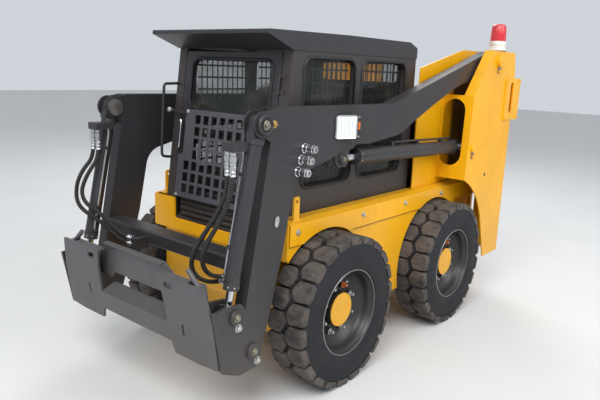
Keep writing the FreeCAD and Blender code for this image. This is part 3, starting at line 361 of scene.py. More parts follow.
class Piece:
    """One piece of the scene, joined from parts that share its finishes."""

    def __init__(self, name, body, *finishes):
        self.name = name
        self.body = body
        self.finishes = finishes
        self.mesh = bmesh.new()

    def join(self, part, slot=0, place=None, both=False):
        """Add a part, and with both its mirror image on the other side."""
        for face in part.faces:
            face.material_index = slot
        if place:
            part.transform(place)
        flat = bpy.data.meshes.new("part")
        part.to_mesh(flat)
        self.mesh.from_mesh(flat)
        if both:
            part.transform(MIRROR)
            bmesh.ops.reverse_faces(part, faces=part.faces)
            part.to_mesh(flat)
            self.mesh.from_mesh(flat)
        part.free()
        bpy.data.meshes.remove(flat)

    def bolt(self, base, along, size, slot=0, both=False):
        """Hex head on its washer; size is the radius of the head."""
        washer = ((0, 0), (0, 1.35), (0.2, 1.35), (0.25, 1.25), (0.25, 0))
        head = ((0.2, 1), (0.8, 1), (0.95, 0.85), (0.95, 0))
        for profile, steps in ((washer, 20), (head, 6)):
            self.join(turned([(size * d, size * r) for d, r in profile], base, along, steps), slot, both=both)

    def done(self, *nodes, angle=32):
        """Put the piece into the scene on its body, in place of the nodes that it replaces."""
        self.mesh.transform(TO_FRAME)
        data = bpy.data.meshes.new(self.name)
        self.mesh.to_mesh(data)
        self.mesh.free()
        for finish in self.finishes:
            data.materials.append(finish)
        data.shade_smooth()
        data.set_sharp_from_angle(angle=math.radians(angle))
        piece = bpy.data.objects.new(self.name, data)
        bpy.context.scene.collection.objects.link(piece)
        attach(piece, self.body)
        if nodes:
            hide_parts(*nodes)
        return piece


def turned(profile, base, along, steps=48):
    """Surface turned about a line, through (distance along it, radius) points."""
    part = bmesh.new()
    axis = Vector(along).normalized()
    side = axis.orthogonal().normalized()
    other = axis.cross(side)
    rings = []
    for distance, radius in profile:
        centre = Vector(base) + axis * distance
        count = steps if radius else 1
        turns = [2 * math.pi * i / steps for i in range(count)]
        rings.append([part.verts.new(centre + (side * math.cos(t) + other * math.sin(t)) * radius)
                      for t in turns])
    for low, high in zip(rings, rings[1:]):
        for i in range(steps):
            j = (i + 1) % steps
            corners = (low[i % len(low)], low[j % len(low)], high[j % len(high)], high[i % len(high)])
            corners = list(dict.fromkeys(corners))
            if len(corners) > 2:
                part.faces.new(corners)
    bmesh.ops.recalc_face_normals(part, faces=part.faces)
    return part


def slab(outline, axis, low, high, soft=0.0, steps=2):
    """Outline carried along an axis, with softened edges; its points are the two other coordinates."""
    put = {"x": lambda a, b, c: Vector((c, a, b)), "y": lambda a, b, c: Vector((a, c, b)),
           "z": lambda a, b, c: Vector((a, b, c))}[axis]
    part = bmesh.new()
    face = part.faces.new([part.verts.new(put(a, b, low)) for a, b in outline])
    made = bmesh.ops.extrude_face_region(part, geom=[face])["geom"]
    moved = [v for v in made if isinstance(v, bmesh.types.BMVert)]
    bmesh.ops.translate(part, verts=moved, vec=put(0, 0, high - low))
    bmesh.ops.recalc_face_normals(part, faces=part.faces)
    if soft:
        bmesh.ops.bevel(part, geom=part.edges[:], offset=soft, segments=steps, affect="EDGES",
                        clamp_overlap=True)
    return part


def block(x0, x1, y0, y1, z0, z1, soft=2.0):
    """Box between two corners, with softened edges."""
    return slab([(x0, y0), (x1, y0), (x1, y1), (x0, y1)], "z", z0, z1, soft)


def rounded(half_a, half_b, radius, a=0.0, b=0.0, steps=6):
    """Points round a rectangle with round corners."""
    points = []
    for turn, (sa, sb) in enumerate(((1, 1), (-1, 1), (-1, -1), (1, -1))):
        for i in range(steps + 1):
            t = math.pi / 2 * (turn + i / steps)
            points.append((a + sa * (half_a - radius) + radius * math.cos(t),
                           b + sb * (half_b - radius) + radius * math.sin(t)))
    return points


def moulding(section, half_a, half_b, radius):
    """Strip round a rectangle with round corners, through (outward, height) points, lying on Z."""
    part = bmesh.new()
    rings = [[part.verts.new((a, b, height)) for a, b in rounded(half_a + out, half_b + out, radius + out)]
             for out, height in section]
    count = len(rings[0])
    for low, high in zip(rings, rings[1:]):
        for i in range(count):
            j = (i + 1) % count
            part.faces.new((low[i], low[j], high[j], high[i]))
    bmesh.ops.recalc_face_normals(part, faces=part.faces)
    return part


def plane(origin, across, upward):
    """Place for a part lying on Z: its X goes across, its Y upward, its Z outward."""
    across, upward = Vector(across), Vector(upward)
    outward = across.cross(upward)
    return Matrix.Translation(origin) @ Matrix((across, upward, outward)).transposed().to_4x4()


def pipe(name, body, finish, radius, points):
    """Smooth bar or hose along points."""
    curve = bpy.data.curves.new(name, "CURVE")
    curve.dimensions = "3D"
    spline = curve.splines.new("NURBS")
    spline.points.add(len(points) - 1)
    for point, place in zip(spline.points, points):
        point.co = (*(TO_FRAME @ Vector(place)), 1)
    spline.order_u = 3
    spline.use_endpoint_u = True
    curve.resolution_u = 8
    curve.bevel_depth = radius / 1000
    curve.bevel_resolution = 4
    curve.use_fill_caps = True
    curve.materials.append(finish)
    piece = bpy.data.objects.new(name, curve)
    bpy.context.scene.collection.objects.link(piece)
    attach(piece, body)
    return piece


def along(pin, other, distance, offset=0.0):
    """(y, z) at a distance from a pin towards another, and off to the front side of that line."""
    y, z = other[0] - pin[0], other[1] - pin[1]
    length = math.hypot(y, z)
    return pin[0] + (distance * y + offset * z) / length, pin[1] + (distance * z - offset * y) / length


# Hoses

def line_of(piece):
    """Points along a hose, read from its spline, in millimetres."""
    bare = piece.data.copy()
    bare.bevel_depth = 0
    route = bpy.data.objects.new("route", bare)
    flat = bpy.data.meshes.new_from_object(route)
    back = TO_FRAME.inverted()
    points = [back @ v.co for v in flat.vertices]
    bpy.data.meshes.remove(flat)
    bpy.data.objects.remove(route)
    return points


def helix(points, radius, pitch, around=12):
    """Points of a spiral wound round a line."""
    wound, travelled = [], 0.0
    side = (points[1] - points[0]).orthogonal().normalized()
    for start, stop in zip(points, points[1:]):
        run = stop - start
        ahead = run.normalized()
        side = (side - ahead * side.dot(ahead)).normalized()
        other = ahead.cross(side)
        count = max(1, round(run.length / pitch * around))
        for i in range(count):
            t = 2 * math.pi * (travelled + run.length * i / count) / pitch
            wound.append(start + run * (i / count) + (side * math.cos(t) + other * math.sin(t)) * radius)
        travelled += run.length
    return wound


def hoses():
    """Tilt cylinder hoses in their spiral guards, with a crimped ferrule at each end."""
    for name, route in HOSES.items():
        hose = pipe(f"hose_{name}", "boom", HOSE_RUBBER, HOSE_R, route)
        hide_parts(f"tilt_hose_{name}")
        line = line_of(hose)
        guard = bpy.data.curves.new("guard", "CURVE")
        guard.dimensions = "3D"
        spline = guard.splines.new("POLY")
        wound = helix(line[3:-3], HOSE_R + 0.6, HOSE_GUARD_PITCH)
        spline.points.add(len(wound) - 1)
        for point, place in zip(spline.points, wound):
            point.co = (*(TO_FRAME @ place), 1)
        guard.bevel_depth = HOSE_GUARD_R / 1000
        guard.bevel_resolution = 1
        guard.materials.append(BLACK)
        spiral = bpy.data.objects.new(f"hose_guard_{name}", guard)
        bpy.context.scene.collection.objects.link(spiral)
        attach(spiral, "boom")
        ends = Piece(f"hose_ferrules_{name}", "boom", CHROME)
        crimp = [(0, HOSE_R), (0, 14), (3, 15), (14, 15), (16, 13.6), (20, 13.6), (22, 15), (30, 15),
                 (32, 13.6), (36, 13.6), (38, 14.6), (44, 14), (46, HOSE_R)]
        first, last = Vector(route[0]), Vector(route[-1])
        ends.join(turned(crimp, first, Vector(route[1]) - first, 28))
        ends.join(turned(crimp, last, Vector(route[-2]) - last, 28))
        ferrules = ends.done()
        length = sum((b - a).length for a, b in zip(line, line[1:])) / 1000


# Wheels

def tread_blocks(row):
    """One staggered row of six sided blocks with rounded edges; row is 1 outside, -1 inside."""
    part = bmesh.new()
    step = 2 * math.pi / LUGS
    outline = [(1, -0.04), (12, 0.22), (30, 0.455), (74, 0.462), (104, 0.44), (112, 0.34), (113, -0.28),
               (106, -0.40), (74, -0.448), (30, -0.46), (14, -0.30)]
    rings = ((1.015, 388, 12), (1.0, 407, 3), (0.982, 411.8, 1), (0.95, 414.2, 0.3), (0.86, 414.8, 0))
    for i in range(LUGS):
        turn = (i + 0.25 * row) * step

        def corner(out, lead, share, radius, drop):
            x = TYRE_MID + row * (58 + (out - 58) * share)
            angle = turn + lead * share * step
            reach = radius - (drop if out > 90 else 0)
            return part.verts.new((x, reach * math.sin(angle), reach * math.cos(angle)))

        loops = [[corner(out, lead, share, radius, drop) for out, lead in outline]
                 for share, radius, drop in rings]
        for low, high in zip(loops, loops[1:]):
            for a in range(len(outline)):
                b = (a + 1) % len(outline)
                part.faces.new((low[a], low[b], high[b], high[a]))
        top = corner(58, 0, 1, 414.9, 0)
        for a in range(len(outline)):
            part.faces.new((loops[-1][a], loops[-1][(a + 1) % len(outline)], top))
    bmesh.ops.recalc_face_normals(part, faces=part.faces)
    return part


def tyre(name, side, end):
    """Side walls with their moulded rings, and the two rows of tread blocks."""
    wall = [(101.5, 236.3), (108, 240), (112.5, 249), (114.5, 258), (113.6, 261), (114.8, 264), (116.8, 272),
            (117.4, 284), (116.4, 287), (117.4, 290), (117.3, 306), (116.3, 309), (117.2, 312), (116.4, 330),
            (114.8, 333), (115.4, 336), (113.2, 352), (111.5, 366), (108, 380), (101, 388), (88, 391)]
    profile = [(out, r) for out, r in wall] + [(-out, r) for out, r in reversed(wall)]
    piece = Piece(name, f"wheel_{end}_{side}", SIDEWALL, TREAD)
    piece.join(turned(profile, (TYRE_MID, 0, 0), OUTWARD, 110))
    for row in (1, -1):
        piece.join(tread_blocks(row), 1)
    return piece


def rim(name, side, end):
    """Dished rim with its lip in light metal as a painted highlight, hub cap, wheel nuts and valve."""
    front = [(712.5, 235.8), (714, 233), (713.5, 229), (710, 226.5), (700, 224.5), (693, 219), (684, 213.5),
             (668, 211), (652, 206), (640, 197), (628, 184), (615, 171), (607, 158), (604, 147), (604, 100),
             (606, 96), (610, 94.2)]
    back = [(590, 60), (590, 160), (598, 178), (585, 196), (560, 206), (516, 215), (507, 226), (505, 235.8),
            (560, 235.8), (712.5, 235.8)]
    hub = [(RIM_FACE, HUB_R), (648, HUB_R - 0.4), (651, HUB_R - 1.5), (651, 60)]
    cap = [(650, HUB_R), (654, HUB_R), (656, HUB_R - 2), (656, 0)]
    # The lip ring takes the light metal: painted highlight
    lip = [(708.5, 227), (712, 229.5), (714, 231.5), (714, 234.5), (712.5, 236)]
    piece = Piece(name, f"wheel_{end}_{side}", RIM_PAINT, YELLOW, NUT, RIM_LIP_HIGHLIGHT, ORANGE)
    for profile, steps, slot in ((front, 96, 0), (back, 72, 0), (hub, 64, 0), (cap, 64, 1), (lip, 96, 3)):
        piece.join(turned(profile, (0, 0, 0), OUTWARD, steps), slot)
    for i in range(WHEEL_BOLTS):
        t = 2 * math.pi * (i + 0.5) / WHEEL_BOLTS
        y, z = BOLT_CIRCLE_R * math.sin(t), BOLT_CIRCLE_R * math.cos(t)
        slot = 4 if i == 0 else 2
        piece.join(turned([(0, 19), (4, 18), (16, 13), (19, 13)], (RIM_FACE, y, z), OUTWARD, 24))
        piece.bolt((RIM_FACE + 18, y, z), OUTWARD, 13, slot)
        piece.join(turned([(28, 7.5), (43, 7.5), (44, 6), (44, 0)], (RIM_FACE, y, z), OUTWARD, 14), slot)
    angle, reach = 0.26, 150
    at = (RIM_FACE + 8, reach * math.sin(angle), reach * math.cos(angle))
    valve = [(0, 8), (6, 8), (9, 5), (34, 5), (34, 6.5), (44, 6.5), (45, 0)]
    piece.join(turned(valve, at, (1, 0, 0.1), 14), 2)
    return piece


def wheels():
    """All four wheels: made on the left at the origin, mirrored for the right, then put in place."""
    for end, y in WHEEL_Y.items():
        for side, sign in SIDES.items():
            for kind, make in (("tyre", tyre), ("rim", rim)):
                piece = make(f"{kind}_{end}_{side}_dressed", side, end)
                if sign < 0:
                    piece.mesh.transform(MIRROR)
                    bmesh.ops.reverse_faces(piece.mesh, faces=piece.mesh.faces)
                piece.mesh.transform(Matrix.Translation((0, y, TYRE_R)))
                piece.done(f"{kind}_{end}_{side}", angle=40 if kind == "tyre" else 30)


# Cab

WINDOW_STRIP = ((0, -6), (0, 4), (2, 6.5), (7, 7.5), (12, 7), (16, 4), (17, 0))
SIDE_WINDOWS = ((-722, -284), (-207, 262))


def glazing():
    """Rubber strips round the windows and the guard bars behind the side and rear panes."""
    strips = Piece("window_strips", "chassis", RUBBER_TRIM)
    bars = Piece("window_bars", "chassis", BLACK)
    for y0, y1 in SIDE_WINDOWS:
        centre, half = (y0 + y1) / 2, (y1 - y0) / 2
        place = plane((431, centre, 1396.5), (0, 1, 0), (0, 0, 1))
        strips.join(moulding(WINDOW_STRIP, half, 331.5, 55), place=place, both=True)
        for i in range(int((y1 - y0) / 42)):
            y = y0 + 28 + i * 42
            bars.join(block(386, 389, y, y + 9, 1068, 1725, 0.8), both=True)
        for i in range(9):
            z = 1110 + i * 70
            bars.join(block(385, 388.5, y0 + 3, y1 - 3, z, z + 11, 0.8), both=True)
    strips.join(moulding(WINDOW_STRIP, 320, 56.5, 30), place=plane((0, 390, 1668.5), (-1, 0, 0), (0, 0, 1)))
    for i in range(15):
        x = -301 + i * 42
        bars.join(block(x, x + 9, 347, 350, 1616, 1722, 0.8))
    strips.done()
    bars.done()

    door = Piece("door_strips", "cab_door", RUBBER_TRIM)
    flip = Matrix.Rotation(math.radians(90), 4, "X")
    for low, high, half, radius in ((512, 780, 300, 45), (50, 468, 305, 30)):
        place = DOOR_PLANE @ Matrix.Translation((0, 0, (low + high) / 2)) @ flip
        door.join(moulding(WINDOW_STRIP, half, (high - low) / 2, radius), place=place)
    door.done()


def door_fittings():
    """Pull handle, guard bolts and the latch arm with its knob."""
    handle = Piece("door_pull", "cab_door", CHROME, BLACK)
    grip = [(-342, 284), (-336, 270), (-320, 270), (-314, 284), (-314, 426), (-320, 440), (-336, 440),
            (-342, 426)]
    handle.join(slab(grip, "y", -44, -34, 3.5, 3), place=DOOR_PLANE)
    for h in (280, 414):
        handle.join(block(-336, -320, -36, -0.5, h, h + 16, 3), place=DOOR_PLANE)
    handle.done("door_handle")
    bolts = Piece("guard_bolts", "cab_door", NUT, CHARCOAL)
    outward = tuple(DOOR_PLANE.to_3x3() @ Vector((0, -1, 0)))
    for u, h in ((-328, 6), (326, 6), (-288, 486), (318, 486)):
        bolts.bolt(tuple(DOOR_PLANE @ Vector((u, -21, h))), outward, 9)
    arm = [(-300, 470), (-300, 486), (-428, 490), (-428, 478)]
    bolts.join(slab(arm, "y", -30, -22, 2), 1, place=DOOR_PLANE)
    knob = [(0, 5), (10, 5), (12, 11), (18, 14), (27, 14), (33, 10), (35, 0)]
    bolts.join(turned(knob, tuple(DOOR_PLANE @ Vector((-420, -28, 484))), outward, 24))
    bolts.done()


def grab_rail():
    """Bent bar beside the door, through (height on the leaning front, way out of it, height) places."""
    places = ((1566, 1, 1566), (1566, 70, 1565), (1566, 104, 1563), (1560, 107, 1530), (1350, 92, 1350),
              (1180, 78, 1186), (1150, 72, 1153), (1145, 40, 1145), (1140, 1, 1142))
    route = [(-419, -918 + (face - 930) * math.tan(DOOR_LEAN) - out, z) for face, out, z in places]
    rail = pipe("grab_rail_bar", "chassis", CHARCOAL, 8, route)
    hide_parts("grab_rail")


def controls():
    """Bellows, rods and palm grips of the levers, and the switches behind them."""
    inside = Piece("control_levers", "chassis", BLACK, NUT)
    for sign in (1, -1):
        x = 300 * sign
        foot, lean = Vector((x, -358, 1130)), Vector((0, -60, 205)).normalized()
        folds = [(0, 44), (6, 46), (12, 38), (18, 41), (24, 32), (30, 35), (36, 26), (42, 29), (48, 18),
                 (60, 12)]
        inside.join(turned(folds, foot, lean, 28))
        inside.join(turned([(60, 8), (190, 8)], foot, lean, 14), 1)
        palm = [(186, 0), (188, 14), (196, 19), (215, 21.5), (240, 23), (258, 22), (268, 16), (272, 0)]
        inside.join(turned(palm, foot, lean, 24))
        for i in range(4):
            inside.join(block(x - 26 + 15 * i, x - 17 + 15 * i, -250, -238, 1129, 1136, 1.5), 1)
    inside.done()


# Boom, coupler and cylinders

def pin_heads():
    """Turned heads of the pins, each with its nut and keeper bolt."""
    arms = Piece("arm_pin_heads", "boom", CHARCOAL, BRASS, NUT, PIN_HEAD)

    def dome(r, h):
        return [(-1, r), (h - 5, r), (h - 1, r - 3), (h, r - 7), (h - 1, r - 11), (h - 3, r - 13),
                (h - 3, 0)]

    for (y, z), radius, height in ((TILT_TOP, 47, 19), (LIFT_EYE, 31, 15)):
        arms.join(turned(dome(radius, height), (ARM_OUT, y, z), OUTWARD, 48), both=True)
        arms.bolt((ARM_OUT + height - 3.5, y, z), OUTWARD, radius * 0.34, 3, both=True)
    arms.bolt((ARM_OUT, -1131, 1429), OUTWARD, 13, 1, both=True)
    arms.bolt((ARM_OUT, -572, 1236), OUTWARD, 11, 2, both=True)
    hook = [(0, 13), (2, 14.5), (6, 14), (8, 9), (9, 0)]
    oval = Matrix.Translation((ARM_OUT, -1097, 976)) @ Matrix.Rotation(-0.2, 4, "X")
    oval = oval @ Matrix.Diagonal((1, 1, 1.9, 1))
    arms.join(turned(hook, (0, 0, 0), OUTWARD, 28), 2, place=oval, both=True)
    arms.done()
    ears = Piece("coupler_pin_heads", "coupler", CHARCOAL, NUT, PIN_HEAD)
    for (y, z), radius in ((TILT_EYE, 36), (COUPLER_PIVOT, 40)):
        ears.join(turned(dome(radius, 16), (EAR_OUT, y, z), OUTWARD, 40), both=True)
        ears.bolt((EAR_OUT + 12.5, y, z), OUTWARD, 14, 2, both=True)
    for y, z in ((-1352, 533), (-1226, 334)):
        ears.bolt((EAR_OUT, y, z), OUTWARD, 15, 1, both=True)
    ears.done()


def auxiliary_couplers():
    """The three quick couplers on the left arm."""
    piece = Piece("coupler_bodies", "boom", CHROME, BLACK)
    shape = [(0, 24), (5, 24), (6, 19), (9, 19), (10, 20.5), (28, 20.5), (30, 18.8), (34, 18.8), (36, 21),
             (60, 21), (62, 19), (66, 18.6), (72, 18), (74, 16), (74, 9), (60, 8), (60, 0)]
    for y, z in ((-916, 1307), (-939, 1254), (-961, 1199)):
        piece.join(turned(shape, (ARM_OUT, y, z), OUTWARD, 32))
        piece.join(turned([(38, 20.9), (40, 21.6), (42, 20.9)], (ARM_OUT, y, z), OUTWARD, 32), 1)
    piece.done("quick_couplers")


def work_lamps():
    """Lamps on the arms: a wedge of a case whose lens looks forward and outward."""
    lamp = Piece("work_lamp_cases", "boom", BLACK, CHROME, ORANGE)
    glass = Piece("work_lamp_faces", "boom", LAMP_FACE, NUT)
    plan = [(ARM_OUT, -686), (ARM_OUT + 47, -548), (ARM_OUT + 47, -522), (ARM_OUT + 40, -520),
            (ARM_OUT, -520)]
    lamp.join(slab(plan, "z", LAMP_LOW, LAMP_HIGH, 3), both=True)
    out = Vector((139, -47, 0)).normalized()
    across = Vector((0, 0, 1)).cross(out)
    middle = Vector((ARM_OUT + 24.5, -614, (LAMP_LOW + LAMP_HIGH) / 2))
    face = Matrix.Translation(middle) @ Matrix((across, Vector((0, 0, 1)), out)).transposed().to_4x4()
    lamp.join(moulding(((-3, 0), (-2, 6), (1, 7), (4, 5), (4, -1)), 64, 56, 12), 1, place=face, both=True)
    pane = slab(rounded(62, 54, 10), "z", 0, 5, 2)
    glass.join(pane, place=face, both=True)
    for i in range(7):
        glass.join(block(-54 + 17 * i, -50 + 17 * i, -46, 46, 4, 6.2, 0.8), place=face, both=True)
    lamp.join(slab(rounded(9, 20, 4, -535, 1400), "x", ARM_OUT + 46, ARM_OUT + 51, 1.5), 2, both=True)
    for z in (LAMP_LOW + 14, LAMP_HIGH - 14):
        glass.bolt((ARM_OUT + 47, -534, z), OUTWARD, 4, 1, both=True)
    lamp.done("work_lamps")
    glass.done("work_lamp_lenses")


def cylinder_fittings():
    """Gland rings and end caps of the barrels, with the lines and unions of each kind."""
    for side, sign in SIDES.items():
        for kind, pin, other, gland, start, radius, rod in (
                ("lift", LIFT_BASE, LIFT_EYE, 1236, 72, 45, 22), ("tilt", TILT_TOP, TILT_EYE, 745, 66, 35, 18)):
            piece = Piece(f"{kind}_barrel_rings_{side}", f"{kind}_barrel_{side}", CHARCOAL, NUT, CHROME)
            way = Vector((0, other[0] - pin[0], other[1] - pin[1])).normalized()
            base = Vector((ARM_MID * sign, *pin))
            ring, lip = radius + 2.6, radius + 5.6
            nut = [(gland - 47, radius + 0.4), (gland - 46, ring), (gland - 30, ring),
                   (gland - 29, radius + 2.2), (gland - 27, ring), (gland - 4, ring), (gland, radius),
                   (gland + 0.6, rod + 7), (gland + 3, rod + 6), (gland + 3, rod + 0.6)]
            piece.join(turned(nut, base, way, 40))
            cap = [(start - 1, radius), (start - 1, radius + 4), (start + 1, lip), (start + 22, lip),
                   (start + 24.6, radius + 3), (start + 24.8, radius)]
            piece.join(turned(cap, base, way, 40))
            spoke = way.orthogonal().normalized()
            for i in range(8):
                t = 2 * math.pi * (i + 0.5) / 8
                out = spoke * math.cos(t) + way.cross(spoke) * math.sin(t)
                at = base + way * (gland - 15) + out * (radius + 2)
                piece.join(turned([(0, 4), (1.2, 4), (1.4, 0)], at, out, 10), 1)
            (lift_line if kind == "lift" else tilt_line)(piece, side, sign)
            piece.done()


def line_along(name, body, finish, radius, x, pin, other, places):
    """Line beside a barrel, through (distance from its pin, way off to the front) places."""
    route = (along(pin, other, distance, offset) for distance, offset in places)
    pipe(name, body, finish, radius, [(x, y, z) for y, z in route])


def lift_line(piece, side, sign):
    """Painted line over the lift barrel with its clamps."""
    x = ARM_MID * sign
    places = ((104, 40), (104, 58), (128, 62), (500, 62), (760, 62), (830, 62), (862, 56), (864, 40))
    line_along(f"lift_line_{side}", piece.body, CHARCOAL, 7.5, x, LIFT_BASE, LIFT_EYE, places)
    for distance in (240, 560, 866):
        y, z = along(LIFT_BASE, LIFT_EYE, distance, 52)
        piece.join(block(x - 14, x + 14, y - 13, y + 13, z - 14, z + 14))


def tilt_line(piece, side, sign):
    """Chrome unions of the hoses, and the steel line inside the tilt barrel with its clamps."""
    union = [(1.6, 12), (1.6, 15.2), (18, 15.2), (19, 13.5), (22, 13.5), (22, 16.5), (44, 16.5), (46, 14),
             (62, 14)]
    for x, y in UNION_PLACES:
        piece.join(turned(union, (x * sign, y, UNION_Z), UPWARD, 24), 2)
    places = ((100, 46), (124, 18), (160, 12), (400, 12), (640, 12), (686, 12), (694, 4))
    line_along(f"tilt_line_{side}", piece.body, STEEL_LINE, 6.5, (ARM_IN - 5) * sign, TILT_TOP, TILT_EYE,
               places)
    for distance in (230, 560):
        y, z = along(TILT_TOP, TILT_EYE, distance, 12)
        place = Matrix.Translation(((ARM_IN - 1) * sign, y, z)) @ Matrix.Rotation(-0.2, 4, "X")
        piece.join(block(-12, 13, -13, 13, -9, 9), place=place)


def beacon():
    """White foot with its seal, and the red dome with 24 flutes."""
    foot = Piece("beacon_foot", "chassis", WHITE, BLACK)
    base = [(1850, 0), (1850, 61), (1856, 62), (1872, 60), (1873, 57), (1900, 57), (1902, 60), (1926, 58),
            (1928, 54), (1928, 0)]
    seal = [(1852, 62), (1853, 63.5), (1860, 63.5), (1861, 62)]
    for slot, profile in enumerate((base, seal)):
        foot.join(turned(profile, BEACON_AT, UPWARD, 48), slot)
    foot.done("beacon_base")
    dome = bmesh.new()
    rings = ((1928, 54), (1934, 54.5), (1980, 53), (2020, 50), (2036, 46), (2045, 36), (2048.6, 20))
    steps, flutes = 96, 24
    loops = []
    for z, radius in rings:
        depth = 0.014 if 1934 <= z <= 2036 else 0
        turns = [2 * math.pi * i / steps for i in range(steps)]
        reach = [radius * (1 + depth * math.cos(flutes * t)) for t in turns]
        loops.append([dome.verts.new((BEACON_AT[0] + r * math.cos(t), BEACON_AT[1] + r * math.sin(t), z))
                      for r, t in zip(reach, turns)])
    for low, high in zip(loops, loops[1:]):
        for i in range(steps):
            j = (i + 1) % steps
            dome.faces.new((low[i], low[j], high[j], high[i]))
    dome.faces.new(loops[-1])
    piece = Piece("beacon_lens", "chassis", RED_LENS)
    piece.join(dome)
    piece.done("beacon_dome")


def body_bolts():
    """Bolts of the sills with black strips along their lip as painted shadow lines, tower pins and their
    plates, counterweight bolts, rear door latch.
    """
    bolts = Piece("body_bolts", "chassis", NUT, YELLOW, BLACK)
    for y in (-861, -276, 200, 688):
        bolts.bolt((SILL_OUT - 1, y, 868), OUTWARD, 12, both=True)
    for (y, z), radius, height in ((LIFT_PIVOT, 45, 26), (LIFT_BASE, 31, 18)):
        dome = [(-1, radius), (height - 4, radius), (height, radius - 4), (height + 1, radius * 0.5),
                (height + 1, 0)]
        bolts.join(turned(dome, (TOWER_OUT, y, z), OUTWARD, 40), 1, both=True)
    # Thin black strips along the sill lip: painted shadow under its step
    for ends in ((-925, -848), (-366, 366)):
        bolts.join(block(SILL_OUT - 0.6, SILL_OUT + 0.7, *ends, 797, 800.4, 0.3), 2, both=True)
    plug = [(0, 13), (1.2, 13), (1.4, 11), (0.4, 9.5), (0.4, 0)]
    bolts.join(turned(plug, (TOWER_OUT, 1046, 981), OUTWARD, 24), 2, both=True)
    for y, z in ((1098, 1710), (1112, 1710), (796, 1130)):
        bolts.bolt((TOWER_OUT + 9, y, z), OUTWARD, 8, 1, both=True)
    for z in (1380, 1650):
        for y in (1280, 1512):
            bolts.bolt((TOWER_OUT + 10, y, z), OUTWARD, 7, 1, both=True)
    for x in (-380, -130, 130, 380):
        bolts.bolt((x, 1499, 430), (0, 1, 0), 14)
    bolts.done()
    latch = Piece("rear_door_latch", "rear_door", BLACK, NUT)
    latch.join(block(372, 440, 1424, 1436, 930, 1070, 4))
    latch.join(block(384, 428, 1434, 1448, 960, 1040, 5))
    latch.join(turned([(0, 9), (4, 9), (5, 0)], (406, 1447, 1052), (0, 1, 0), 20), 1)
    latch.done()


# Seat

def settled(piece, cap, frames=20):
    """Even out a closed pad's mesh and swell it under its own pressure, no point further than the cap."""
    scene = bpy.context.scene
    remesh = piece.modifiers.new("even", "REMESH")
    remesh.mode = "VOXEL"
    remesh.voxel_size = 0.006
    apply_modifiers(piece)
    rest = [v.co.copy() for v in piece.data.vertices]
    cloth = piece.modifiers.new("pad", "CLOTH")
    cloth.settings.use_pressure = True
    cloth.settings.uniform_pressure_force = 4
    cloth.settings.effector_weights.gravity = 0
    cloth.settings.quality = 5
    cloth.point_cache.frame_start = 1
    cloth.point_cache.frame_end = frames
    for number in range(1, frames + 1):
        scene.frame_set(number)
    apply_modifiers(piece)
    for vertex, start in zip(piece.data.vertices, rest):
        shift = vertex.co - start
        if shift.length > cap:
            vertex.co = start + shift.normalized() * cap
    scene.frame_set(1)


def apply_modifiers(piece):
    """Turn the piece's modifiers into its mesh."""
    graph = bpy.context.evaluated_depsgraph_get()
    made = bpy.data.meshes.new_from_object(piece.evaluated_get(graph))
    old = piece.data
    piece.modifiers.clear()
    piece.data = made
    bpy.data.meshes.remove(old)


def pad(name, form, seams, outward):
    """Upholstered pad: swollen, then pressed in along its sewn (axis, place) seams, in metres."""
    swell, seam_width, seam_depth = 0.014, 0.009, 0.009
    piece = Piece(name, "chassis", VINYL)
    piece.join(form)
    made = piece.done()
    settled(made, swell)
    for vertex in made.data.vertices:
        depth = sum(math.exp(-((vertex.co[axis] - place) / seam_width) ** 2) for axis, place in seams)
        facing = max(0.0, vertex.normal.dot(outward))
        vertex.co -= outward * seam_depth * min(depth, 1.0) * facing
    smooth = made.modifiers.new("smooth", "SUBSURF")
    smooth.levels = smooth.render_levels = 1
    apply_modifiers(made)
    made.data.shade_smooth()
    return made


def seat():
    """Seat cushion and backrest."""
    base = [(-270, 1010), (-255, 1000), (238, 1006), (242, 1076), (-240, 1094), (-272, 1070)]
    back = [(190, 1096), (206, 1092), (296, 1094), (340, 1580), (326, 1592), (272, 1592), (262, 1580)]
    long_seams = [(0, -0.12), (0, 0.12)]
    cushion = pad("seat_cushion", slab(base, "x", -228, 228, 16, 3), [*long_seams, (1, -0.03 + MIDDLE_Y)],
                  Vector(UPWARD))
    rest = pad("seat_back", slab(back, "x", -212, 212, 16, 3), [*long_seams, (2, 1.42)],
               Vector((0, -0.99, 0.14)))
    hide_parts("seat_cushions")
    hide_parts("seat_cushions")


# Studio

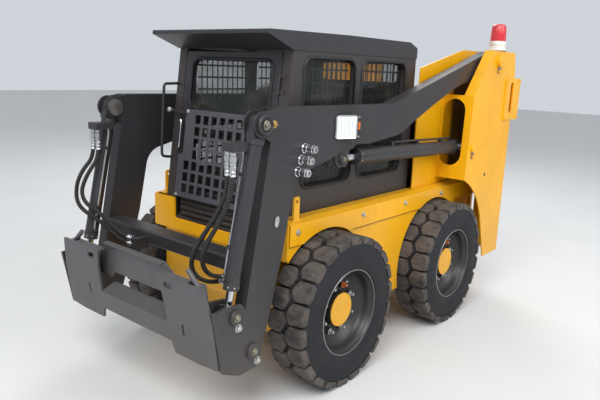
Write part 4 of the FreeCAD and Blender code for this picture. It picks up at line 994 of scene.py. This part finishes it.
def studio():
    """Pale floor, even sky and three soft lamps."""
    floor = bpy.data.meshes.new("studio_floor")
    floor.from_pydata([(-30, -30, 0), (30, -30, 0), (30, 30, 0), (-30, 30, 0)], [], [(0, 1, 2, 3)])
    ground = bpy.data.objects.new("studio_floor", floor)
    bpy.context.scene.collection.objects.link(ground)
    s = Shader("floor_paint", Roughness=0.85)
    tone = s.mix(s.noise(1.3, 3), (0.62, 0.62, 0.61, 1), (0.68, 0.68, 0.67, 1))
    ground.data.materials.append(s.finish(Base_Color=tone))
    world = bpy.data.worlds.new("studio_world")
    bpy.context.scene.world = world
    world.use_nodes = True
    sky = world.node_tree.nodes["Background"].inputs
    sky["Color"].default_value = (0.83, 0.87, 0.93, 1)
    sky["Strength"].default_value = 0.75
    for name, place, power in (("key", (2.5, -5.0, 6.0), 420), ("side", (6.5, 1.0, 5.0), 260),
                               ("back", (-4.0, 5.0, 6.0), 220)):
        lamp = bpy.data.lights.new(name, "AREA")
        lamp.energy = power
        lamp.size = 4.0
        light = bpy.data.objects.new(name, lamp)
        light.location = place
        light.rotation_euler = (Vector((0, 0, 0.9)) - Vector(place)).to_track_quat("-Z", "Y").to_euler()
        bpy.context.scene.collection.objects.link(light)
    bpy.context.scene.view_settings.view_transform = "Standard"


def photo_camera():
    """Camera at the photograph's place and angle."""
    yaw, pitch, roll = (math.radians(a) for a in (YAW, PITCH, ROLL))
    forward = Vector((-math.sin(yaw) * math.cos(pitch), math.cos(yaw) * math.cos(pitch), math.sin(pitch)))
    right = forward.cross(Vector((0, 0, 1))).normalized()
    up = right.cross(forward)
    across = right * math.cos(roll) + up * math.sin(roll)
    upright = up * math.cos(roll) - right * math.sin(roll)
    data = bpy.data.cameras.new("photo_camera")
    data.sensor_width = 36
    data.lens = LENS
    camera = bpy.data.objects.new("photo_camera", data)
    turn = Matrix((across, upright, -forward)).transposed().to_4x4()
    camera.matrix_world = Matrix.Translation(Vector(EYE) + Vector((0, MIDDLE_Y, 0))) @ turn
    bpy.context.scene.collection.objects.link(camera)
    bpy.context.scene.camera = camera


dress_nodes()
hoses()
wheels()
glazing()
door_fittings()
grab_rail()
controls()
pin_heads()
auxiliary_couplers()
work_lamps()
cylinder_fittings()
beacon()
body_bolts()
seat()
studio()
photo_camera()
bpy.context.view_layer.update()
